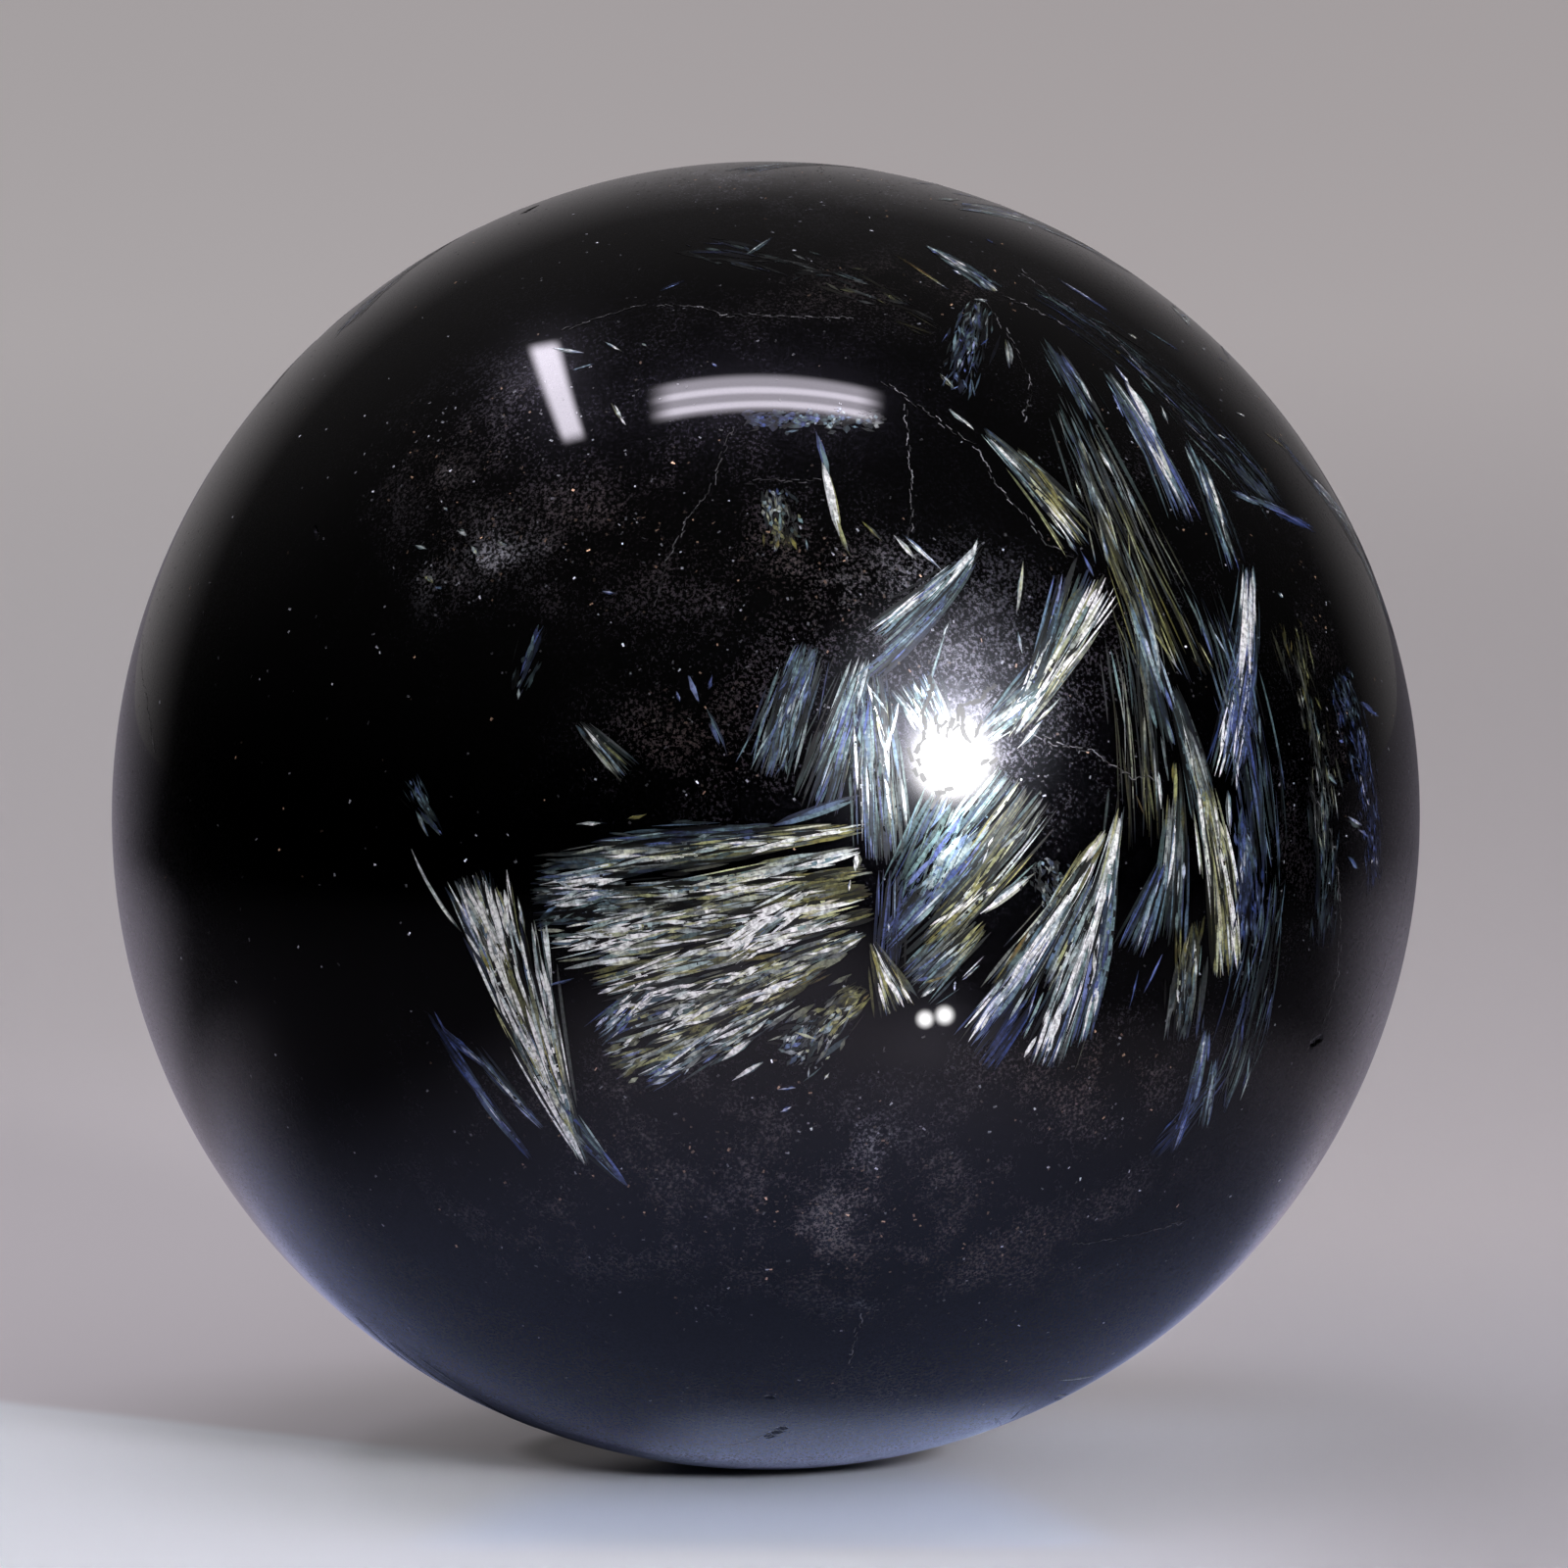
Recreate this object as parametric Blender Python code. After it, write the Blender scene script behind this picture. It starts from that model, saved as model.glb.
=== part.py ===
"""A polished arfvedsonite sphere, one solid stone.

Units are metres and +Z is up. The origin is the middle of the small flat that the
sphere stands on, and the face with the bright crystal sprays looks along -Y.
"""

import math

import bmesh
import bpy
from mathutils import Matrix, Vector

# The ball as it left the polishing cups.
SPHERE_NAME = "arfvedsonite_sphere"
SPHERE_DIAMETER = 0.060

# The flat underneath, just wide enough to keep the ball from rolling on a level table.
FOOT_DIAMETER = 0.0068

# How finely the round surface is divided.
MERIDIANS = 80
PARALLELS = 40

# The look of the stone between its bright crystals.
STONE_COLOUR = (0.010, 0.010, 0.013, 1.0)
STONE_ROUGHNESS = 0.06
STONE_METALLIC = 0.0
POLISH_COAT = 1.0

UP = Vector((0.0, 0.0, 1.0))
SAME_PLACE = 1e-7


def clear_scene():
    """Removes whatever the file was opened with."""
    for old in list(bpy.data.objects):
        bpy.data.objects.remove(old, do_unlink=True)


def collection_named(name):
    """A new collection in the scene, to hold the parts."""
    made = bpy.data.collections.new(name)
    bpy.context.scene.collection.children.link(made)
    return made


def stone_material():
    """Polished, nearly black stone."""
    stone = bpy.data.materials.new("polished_arfvedsonite")
    stone.use_nodes = True
    shader = stone.node_tree.nodes["Principled BSDF"]
    shader.inputs["Base Color"].default_value = STONE_COLOUR
    shader.inputs["Roughness"].default_value = STONE_ROUGHNESS
    shader.inputs["Metallic"].default_value = STONE_METALLIC
    shader.inputs["Coat Weight"].default_value = POLISH_COAT
    stone.diffuse_color = STONE_COLOUR
    return stone


def centre_height():
    """How far the ball's centre stands above its flat."""
    return math.sqrt((SPHERE_DIAMETER / 2) ** 2 - (FOOT_DIAMETER / 2) ** 2)


def grind_flat(stone):
    """Cuts the ball off level at z = 0 and closes the cut with one flat face."""
    whole = stone.verts[:] + stone.edges[:] + stone.faces[:]
    bmesh.ops.bisect_plane(
        stone,
        geom=whole,
        dist=SAME_PLACE,
        plane_co=Vector((0.0, 0.0, 0.0)),
        plane_no=UP,
        clear_inner=True,
    )
    rim = [edge for edge in stone.edges if edge.is_boundary]
    bmesh.ops.holes_fill(stone, edges=rim, sides=0)
    bmesh.ops.recalc_face_normals(stone, faces=stone.faces[:])


def polished_sphere(collection):
    """The ball, standing on its flat."""
    stone = bmesh.new()
    bmesh.ops.create_uvsphere(
        stone,
        u_segments=MERIDIANS,
        v_segments=PARALLELS,
        radius=SPHERE_DIAMETER / 2,
        matrix=Matrix.Translation(UP * centre_height()),
    )
    grind_flat(stone)
    for face in stone.faces:
        face.smooth = face.normal.dot(-UP) < 1.0 - SAME_PLACE
    mesh = bpy.data.meshes.new(SPHERE_NAME)
    stone.to_mesh(mesh)
    stone.free()
    mesh.materials.append(stone_material())
    ball = bpy.data.objects.new(SPHERE_NAME, mesh)
    collection.objects.link(ball)
    return ball


def main():
    clear_scene()
    polished_sphere(collection_named("arfvedsonite_sphere_parts"))


main()
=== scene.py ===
"""The looks of a polished arfvedsonite sphere, a black stone with sprays of bright needles.

The needles lie in the stone and are cut off flush by the polish. Each one is a thin sliver,
laid on the ball's surface within a hundredth of a millimetre and bent to its curve, so the
fans are thousands of single crystals. The grains and the hairline cracks are slivers too.
"""

import math
import random
from typing import NamedTuple

import bpy
import numpy as np
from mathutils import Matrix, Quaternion, Vector, noise


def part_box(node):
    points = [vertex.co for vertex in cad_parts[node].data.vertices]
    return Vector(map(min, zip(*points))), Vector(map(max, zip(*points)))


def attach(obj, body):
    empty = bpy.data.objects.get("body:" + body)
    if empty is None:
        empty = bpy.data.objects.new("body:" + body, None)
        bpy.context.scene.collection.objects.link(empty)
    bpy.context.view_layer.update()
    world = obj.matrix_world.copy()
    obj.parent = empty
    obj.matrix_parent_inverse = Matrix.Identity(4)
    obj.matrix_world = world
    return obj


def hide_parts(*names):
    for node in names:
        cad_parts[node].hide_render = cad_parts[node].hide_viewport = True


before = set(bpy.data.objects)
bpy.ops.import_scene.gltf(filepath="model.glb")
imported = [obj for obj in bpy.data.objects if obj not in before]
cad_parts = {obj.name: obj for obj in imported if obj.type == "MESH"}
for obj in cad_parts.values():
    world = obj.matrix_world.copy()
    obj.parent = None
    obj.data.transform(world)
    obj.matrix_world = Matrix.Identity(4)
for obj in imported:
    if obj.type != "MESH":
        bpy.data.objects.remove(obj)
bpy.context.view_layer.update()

bl_info = {
    "name": "Arfvedsonite sphere",
    "version": (1, 0, 0),
    "blender": (4, 5, 0),
    "location": "View3D > Sidebar > Stone",
    "description": "A polished black stone ball with sprays of bright needles",
    "category": "Add Mesh",
}

# The part in the frame that the stone stands for, and its body.
STONE_NODE = "arfvedsonite_sphere"
STONE_BODY = "root"

# The ball's size and place, from the frame.
STONE_LOW, STONE_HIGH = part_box(STONE_NODE)
RADIUS = (STONE_HIGH.x - STONE_LOW.x) / 2
CENTRE = Vector((0.0, 0.0, STONE_HIGH.z - RADIUS))
FLOOR_HEIGHT = STONE_LOW.z

# The photograph's frame, and where the ball stands in it.
PHOTO_SIDE = 1600
BALL_MIDDLE = (781.5, 832.0)
SENSOR_WIDTH = 36.0
LENS = 250.0
CAMERA_DISTANCE = 0.5
CAMERA_ELEVATION = math.radians(5.0)
PIXELS_DEEP = PHOTO_SIDE * LENS / SENSOR_WIDTH
PIXEL = CAMERA_DISTANCE / PIXELS_DEEP

UP = Vector((0.0, 0.0, 1.0))
TO_CAMERA = Vector((0.0, -math.cos(CAMERA_ELEVATION), math.sin(CAMERA_ELEVATION)))
CAMERA_PLACE = CENTRE + TO_CAMERA * CAMERA_DISTANCE
PICTURE_RIGHT = Vector((1.0, 0.0, 0.0))
PICTURE_UP = TO_CAMERA.cross(PICTURE_RIGHT)
AIM = (
    CENTRE
    + PICTURE_RIGHT * (PHOTO_SIDE / 2 - BALL_MIDDLE[0]) * PIXEL
    - PICTURE_UP * (PHOTO_SIDE / 2 - BALL_MIDDLE[1]) * PIXEL
)


def sight(pixel):
    """The direction in which the camera sees a pixel of the photograph."""
    forward = (AIM - CAMERA_PLACE).normalized()
    right = forward.cross(UP).normalized()
    up = right.cross(forward)
    across = pixel[0] - PHOTO_SIDE / 2
    down = pixel[1] - PHOTO_SIDE / 2
    return (forward * PIXELS_DEEP + right * across - up * down).normalized()


def on_ball(pixel):
    """The direction, from the ball's centre, of the point that a pixel shows."""
    ray = sight(pixel)
    offset = CAMERA_PLACE - CENTRE
    nearest = -offset.dot(ray)
    spare = nearest * nearest - offset.length_squared + RADIUS * RADIUS
    reach = nearest - math.sqrt(max(spare, 0.0))
    return (offset + ray * reach).normalized()


def mirrored(pixel, distance):
    """The point that the ball mirrors at a pixel, at a distance from the ball's centre."""
    normal = on_ball(pixel)
    ray = sight(pixel)
    bounced = ray - normal * 2 * ray.dot(normal)
    start = normal * RADIUS
    half = start.dot(bounced)
    run = -half + math.sqrt(half * half - RADIUS * RADIUS + distance * distance)
    return CENTRE + start + bounced * run


# Hues of the needles, on a scale from deep blue to brown.
BLUE = 0.0
VIOLET = 0.12
STEEL = 0.25
TEAL = 0.38
WHITE = 0.5
LEMON = 0.62
OLIVE = 0.78
BROWN = 0.92


# The needles' colours from deep blue to brown.
NEEDLE_COLOURS = (
    (BLUE, (0.08, 0.15, 0.52)),
    (VIOLET, (0.28, 0.36, 0.88)),
    (STEEL, (0.26, 0.42, 0.56)),
    (TEAL, (0.38, 0.58, 0.57)),
    (WHITE, (0.88, 0.95, 0.98)),
    (LEMON, (0.82, 0.85, 0.44)),
    (OLIVE, (0.54, 0.50, 0.13)),
    (BROWN, (0.32, 0.19, 0.07)),
)
NEEDLE_METAL = 0.35
GLOW_METAL = 0.9

# The tiny grains. Their sizes are in the photograph's pixels.
GRAINS = 34000
GRAIN_LENGTHS = (1.2, 4.0)
GRAIN_HALVES = (0.5, 1.3)
DULL_GRAIN, DULL_RANGE = 0.02, 0.30
BRIGHT_GRAIN, BRIGHT_SHARE = 0.95, 0.06
# The share of grains that is kept on plain stone, and what grain and smoke add to it.
KEPT_PLAIN, KEPT_GRAINY, KEPT_SMOKY = 0.05, 0.62, 0.5
# The share of them that is warm, and how much warm ground adds to it.
WARM_SHARE, WARMER_SHARE = 0.15, 0.5

# The cracks. An open crack is wider than a hairline, by these shares of their common width.
CRACK_STEP = 0.00030
CRACK_WANDER = 0.00007
CRACK_WIDTH = 0.00009
HAIRLINE_SHARE, OPEN_SHARE = 0.5, 1.7
CRACK_HALVES = (0.25, 0.8)
CRACK_OVERLAP = 1.15
CRACK_BRIGHTEST = 0.6

# No sliver reaches nearer the floor than this.
FOOT_ROOM = 0.00005


class Spray(NamedTuple):
    """A fan of needles, or one blade, where it shows on the front of the ball.

    Places and widths are in the photograph's pixels. The light is 1 for a needle as
    bright as paper. A chop of 0 gives long silky threads and 1 gives short flakes.
    """

    name: str
    root: tuple
    tip: tuple
    widths: tuple
    light: float
    hues: tuple
    chop: float = 0.6
    grain: tuple = (60.0, 6.0)
    bow: float = 0.0
    solid: float = 0.0
    fades: tuple = (0.15, 0.1)
    metal: float = NEEDLE_METAL


def blade(name, root, tip, width, light, hue, tip_hue=None, bow=0.0):
    """One bright needle on its own, pointed at both ends."""
    return Spray(
        name,
        root,
        tip,
        (width * 0.7, width * 0.7),
        light,
        (hue, hue if tip_hue is None else tip_hue),
        grain=(50.0, 3.5),
        bow=bow,
        solid=1.0,
        fades=(0.02, 0.02),
    )


LEFT_FLAME = (
    Spray("flame, white heart", (577, 1140), (520, 1028), (12, 22), 1.5, (WHITE, WHITE), 0.3, (70, 4)),
    Spray("flame, body", (594, 1182), (491, 903), (5, 72), 1.85, (LEMON, 0.66), 0.35, (80, 5),
          fades=(0.15, 0.03)),
    Spray("flame, crown", (522, 990), (485, 893), (30, 66), 1.5, (WHITE, 0.58), 0.4, (60, 5),
          fades=(0.2, 0.03)),
    Spray("flame, right limb", (588, 1158), (542, 940), (8, 36), 1.0, (LEMON, 0.42), 0.35, (80, 5)),
    Spray("flame, left edge", (560, 1104), (470, 920), (6, 22), 1.3, (TEAL, 0.3), 0.4, (60, 4)),
    Spray("flame, tail", (600, 1190), (566, 1110), (4, 30), 0.55, (TEAL, LEMON), 0.4, (60, 4)),
    blade("flame, bright stripe", (500, 985), (469, 925), 8, 1.2, WHITE, VIOLET),
    blade("flame, right stripe", (536, 955), (528, 915), 7, 1.3, WHITE),
    blade("flame, inner stripe", (522, 1010), (497, 945), 6, 1.1, LEMON),
    blade("flame, last thread", (591, 1186), (566, 1132), 4, 1.0, WHITE),
    Spray("far left, upper thread", (541, 1181), (440, 1039), (5, 16), 0.75, (STEEL, BLUE), 0.5, (60, 4)),
    Spray("far left, lower thread", (553, 1150), (484, 1073), (6, 16), 0.8, (TEAL, STEEL), 0.5, (50, 4)),
    blade("far left, bright thread", (543, 1180), (505, 1135), 4, 0.9, VIOLET, BLUE),
    Spray("far left, middle thread", (502, 1094), (451, 1050), (5, 10), 0.5, (STEEL, BLUE), 0.5, (50, 4)),
    blade("upper left thread", (470, 950), (420, 867), 7, 0.9, WHITE, TEAL, 3.0),
    blade("upper left short thread", (438, 856), (424, 826), 6, 0.7, LEMON, STEEL),
    Spray("left crumb spray", (450, 850), (416, 796), (8, 30), 0.22, (TEAL, STEEL), 0.7, (26, 4)),
)

CENTRE_FAN = (
    Spray("centre, bright heart", (826, 908), (736, 968), (22, 44), 1.35, (WHITE, WHITE), 0.35, (60, 5)),
    Spray("centre, heart ray", (742, 935), (605, 962), (34, 30), 1.5, (WHITE, LEMON), 0.6, (60, 6)),
    Spray("centre, lower heart", (800, 985), (680, 1050), (24, 34), 1.3, (LEMON, WHITE), 0.6, (55, 5)),
    Spray("centre, top ray", (874, 846), (556, 890), (12, 44), 0.85, (OLIVE, 0.4), 0.6, (70, 4.5),
          fades=(0.15, 0.35)),
    Spray("centre, second ray", (874, 868), (690, 912), (10, 30), 0.75, (WHITE, LEMON), 0.5, (70, 5)),
    Spray("centre, third ray", (880, 890), (556, 930), (16, 46), 0.95, (OLIVE, TEAL), 0.65, (60, 5),
          fades=(0.15, 0.3)),
    Spray("centre, fourth ray", (878, 912), (572, 966), (16, 40), 1.25, (OLIVE, WHITE), 0.7, (60, 6)),
    Spray("centre, fifth ray", (884, 932), (610, 1002), (16, 32), 1.4, (0.7, LEMON), 0.6, (60, 5.5),
          fades=(0.15, 0.25)),
    Spray("centre, sixth ray", (876, 958), (622, 1040), (16, 40), 1.1, (LEMON, WHITE), 0.7, (55, 6)),
    Spray("centre, seventh ray", (838, 990), (628, 1084), (16, 40), 1.05, (OLIVE, LEMON), 0.7, (50, 6)),
    Spray("centre, eighth ray", (808, 1020), (660, 1102), (20, 30), 0.85, (LEMON, TEAL), 0.7, (45, 5)),
    Spray("centre, far end", (640, 905), (545, 922), (40, 66), 0.85, (TEAL, 0.46), 0.6, (60, 5),
          fades=(0.3, 0.03)),
    Spray("centre, faint top", (800, 846), (610, 862), (20, 26), 0.28, (STEEL, TEAL), 0.6, (50, 4)),
    Spray("centre, blue thumb", (668, 1010), (610, 1060), (24, 34), 1.9, (0.44, 0.16), 0.5, (40, 5)),
    blade("centre, first flash", (586, 897), (550, 903), 9, 1.6, WHITE),
    blade("centre, second flash", (640, 934), (578, 946), 8, 1.3, WHITE, LEMON),
    blade("centre, third flash", (690, 925), (617, 943), 9, 1.5, WHITE),
    blade("centre, fourth flash", (850, 935), (812, 956), 9, 1.3, 0.44),
    blade("centre, fifth flash", (880, 957), (852, 974), 8, 1.2, WHITE),
    blade("centre, long flash", (828, 991), (733, 1027), 12, 1.4, WHITE, LEMON),
    blade("centre, sixth flash", (732, 956), (622, 972), 10, 1.5, WHITE),
    blade("centre, seventh flash", (695, 969), (642, 992), 8, 1.4, WHITE),
    blade("centre, grey seam", (799, 1024), (743, 1048), 8, 1.1, TEAL),
    blade("centre, lilac tip", (770, 1058), (737, 1082), 11, 1.5, 0.46, VIOLET),
    blade("centre, pale tip", (780, 1083), (747, 1103), 12, 1.4, WHITE, 0.44),
    blade("centre, low ray", (732, 1048), (665, 1099), 9, 1.0, TEAL),
    blade("centre, blue foot", (660, 1070), (631, 1080), 8, 0.9, STEEL, BLUE),
    blade("centre, left blue thread", (586, 998), (556, 1006), 5, 0.7, VIOLET),
    blade("centre, grey slab", (882, 811), (790, 842), 13, 0.42, 0.3),
    blade("centre, yellow drop", (874, 868), (873, 889), 10, 1.2, LEMON),
    blade("centre, drop thread", (868, 897), (866, 912), 5, 1.2, TEAL),
)

MIDDLE = (
    Spray("middle, highlight strands", (898, 880), (884, 690), (40, 36), 0.6, (STEEL, 0.45), 0.2, (90, 4)),
    Spray("middle, left of light", (880, 672), (832, 822), (26, 54), 0.42, (0.42, 0.3), 0.3, (70, 3.5)),
    Spray("middle, dark blue seam", (905, 990), (912, 890), (30, 30), 0.2, (BLUE, STEEL), 0.3, (60, 4)),
    Spray("middle, small fan", (889, 962), (915, 1030), (8, 40), 0.8, (OLIVE, LEMON), 0.4, (50, 4)),
    Spray("middle, smooth haze", (1000, 850), (905, 960), (60, 30), 0.35, (0.3, STEEL), 0.1, (80, 5)),
    Spray("middle, low haze", (1000, 940), (934, 1006), (40, 50), 0.4, (OLIVE, STEEL), 0.4, (50, 4)),
    Spray("middle, olive patch", (1010, 898), (944, 962), (22, 22), 0.75, (0.72, OLIVE), 0.4, (50, 4)),
    Spray("middle, right haze", (1060, 810), (960, 940), (70, 50), 0.30, (0.42, OLIVE), 0.2, (80, 4)),
    blade("middle, cream bar", (1056, 891), (993, 937), 10, 1.2, 0.53),
    blade("middle, pale stick", (1016, 846), (1001, 884), 9, 1.1, 0.55),
    blade("middle, first dash", (942, 1004), (970, 994), 6, 0.7, OLIVE),
    blade("middle, white dash", (940, 1019), (955, 1007), 8, 1.5, WHITE),
    blade("middle, dotted dash", (974, 1012), (975, 1001), 6, 1.3, WHITE, VIOLET),
    blade("middle, long pale edge", (891, 963), (912, 1006), 6, 1.1, WHITE, LEMON),
    blade("middle, last pale edge", (914, 989), (927, 1024), 5, 0.9, LEMON, OLIVE),
    blade("middle, blue needle", (907, 953), (907, 936), 5, 1.0, VIOLET),
    blade("middle, green twig", (1000, 985), (982, 1000), 6, 0.7, TEAL),
    Spray("middle, low olive", (880, 1010), (800, 1080), (30, 60), 0.28, (OLIVE, TEAL), 0.9, (30, 6)),
    blade("middle, low lemon crumb", (847, 1094), (840, 1103), 6, 1.0, LEMON),
    blade("middle, low blue crumb", (812, 1110), (794, 1112), 5, 0.8, BLUE),
    blade("middle, lowest blue crumb", (808, 1129), (796, 1135), 6, 0.9, 0.05),
    blade("middle, low crumb", (844, 1045), (832, 1056), 7, 1.0, LEMON),
)

GLOW = (
    Spray("glow, left strands", (908, 850), (892, 696), (34, 30), 0.5, (0.47, 0.42), 0.35, (70, 4),
          metal=GLOW_METAL),
    Spray("glow, far left strands", (868, 800), (884, 700), (34, 14), 0.5, (0.45, STEEL), 0.3, (60, 4),
          metal=GLOW_METAL),
    blade("glow, first pillar", (884, 694), (906, 762), 10, 1.6, WHITE),
    blade("glow, second pillar", (917, 716), (902, 780), 10, 1.5, WHITE),
    blade("glow, third pillar", (901, 788), (911, 842), 8, 1.2, WHITE),
    Spray("glow, upper rays", (958, 750), (930, 694), (30, 50), 0.5, (WHITE, 0.44), 0.4, (40, 4),
          metal=GLOW_METAL),
    Spray("glow, right rays", (1000, 752), (1066, 690), (20, 44), 0.5, (WHITE, 0.44), 0.4, (50, 4),
          metal=GLOW_METAL),
    Spray("glow, lower rays", (975, 815), (928, 920), (50, 54), 0.32, (0.46, 0.3), 0.25, (80, 3.5),
          metal=GLOW_METAL),
    Spray("glow, low right rays", (1030, 790), (955, 880), (46, 36), 0.36, (0.47, 0.36), 0.3, (80, 3.5),
          metal=GLOW_METAL),
    Spray("glow, smooth patch", (985, 835), (928, 902), (70, 46), 0.6, (0.46, 0.3), 0.1, (80, 12),
          metal=GLOW_METAL),
)

ABOVE_LIGHT = (
    Spray("steel fan, body", (998, 556), (897, 650), (8, 38), 1.0, (0.45, 0.33), 0.4, (60, 3.5), 4.0),
    Spray("steel fan, lower limb", (994, 572), (881, 694), (6, 18), 0.55, (0.42, 0.22), 0.4,
          (60, 3.5), 6.0),
    blade("steel fan, bright limb", (970, 633), (962, 650), 6, 0.9, TEAL),
    blade("steel fan, top blade", (998, 549), (986, 590), 7, 1.2, 0.45),
    blade("steel fan, long thread", (967, 638), (942, 717), 5, 0.7, TEAL),
    blade("steel fan, white end", (884, 697), (907, 730), 7, 1.2, WHITE),
    Spray("pale fan, body", (1032, 750), (1122, 590), (10, 58), 1.3, (LEMON, 0.56), 0.3, (90, 5)),
    Spray("pale fan, left limb", (1040, 740), (1086, 592), (10, 26), 0.6, (TEAL, STEEL), 0.4, (80, 4)),
    Spray("pale fan, gold stripe", (1064, 716), (1094, 668), (8, 16), 1.1, (LEMON, 0.68), 0.3, (60, 4)),
    blade("pale fan, bright stripe", (1052, 686), (1073, 651), 6, 1.2, WHITE),
    blade("pale fan, low stripe", (1055, 740), (1083, 711), 7, 1.1, LEMON),
    blade("pale fan, root flash", (1038, 764), (1064, 735), 8, 1.4, WHITE),
    blade("spindle", (1037, 630), (1044, 574), 7, 1.2, 0.52),
    blade("spindle's foot", (1044, 669), (1039, 645), 6, 0.9, WHITE),
    blade("white splinter", (912, 546), (935, 571), 9, 1.5, LEMON, WHITE),
    blade("lilac splinter", (922, 546), (960, 581), 7, 1.3, TEAL, VIOLET),
    blade("small splinter", (880, 532), (900, 552), 5, 0.6, OLIVE),
    Spray("drift left of light", (826, 660), (784, 790), (36, 46), 0.55, (0.3, 0.44), 0.5, (50, 3.5)),
    blade("lone pillar, crown", (833, 440), (846, 484), 11, 0.6, VIOLET, TEAL),
    blade("lone pillar, flash", (839, 470), (856, 545), 15, 1.5, WHITE, LEMON),
    blade("lone pillar, foot", (852, 525), (867, 566), 9, 0.7, LEMON, OLIVE),
    blade("teal sliver", (796, 518), (796, 550), 6, 0.7, TEAL),
    blade("teal crumb", (822, 548), (824, 562), 5, 0.9, TEAL),
    Spray("teal crumbs", (790, 500), (800, 560), (30, 40), 0.22, (TEAL, OLIVE), 0.95, (20, 5)),
    Spray("frost under the lamp", (762, 430), (900, 430), (26, 20), 0.35, (VIOLET, WHITE), 0.95, (16, 8)),
)

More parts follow.
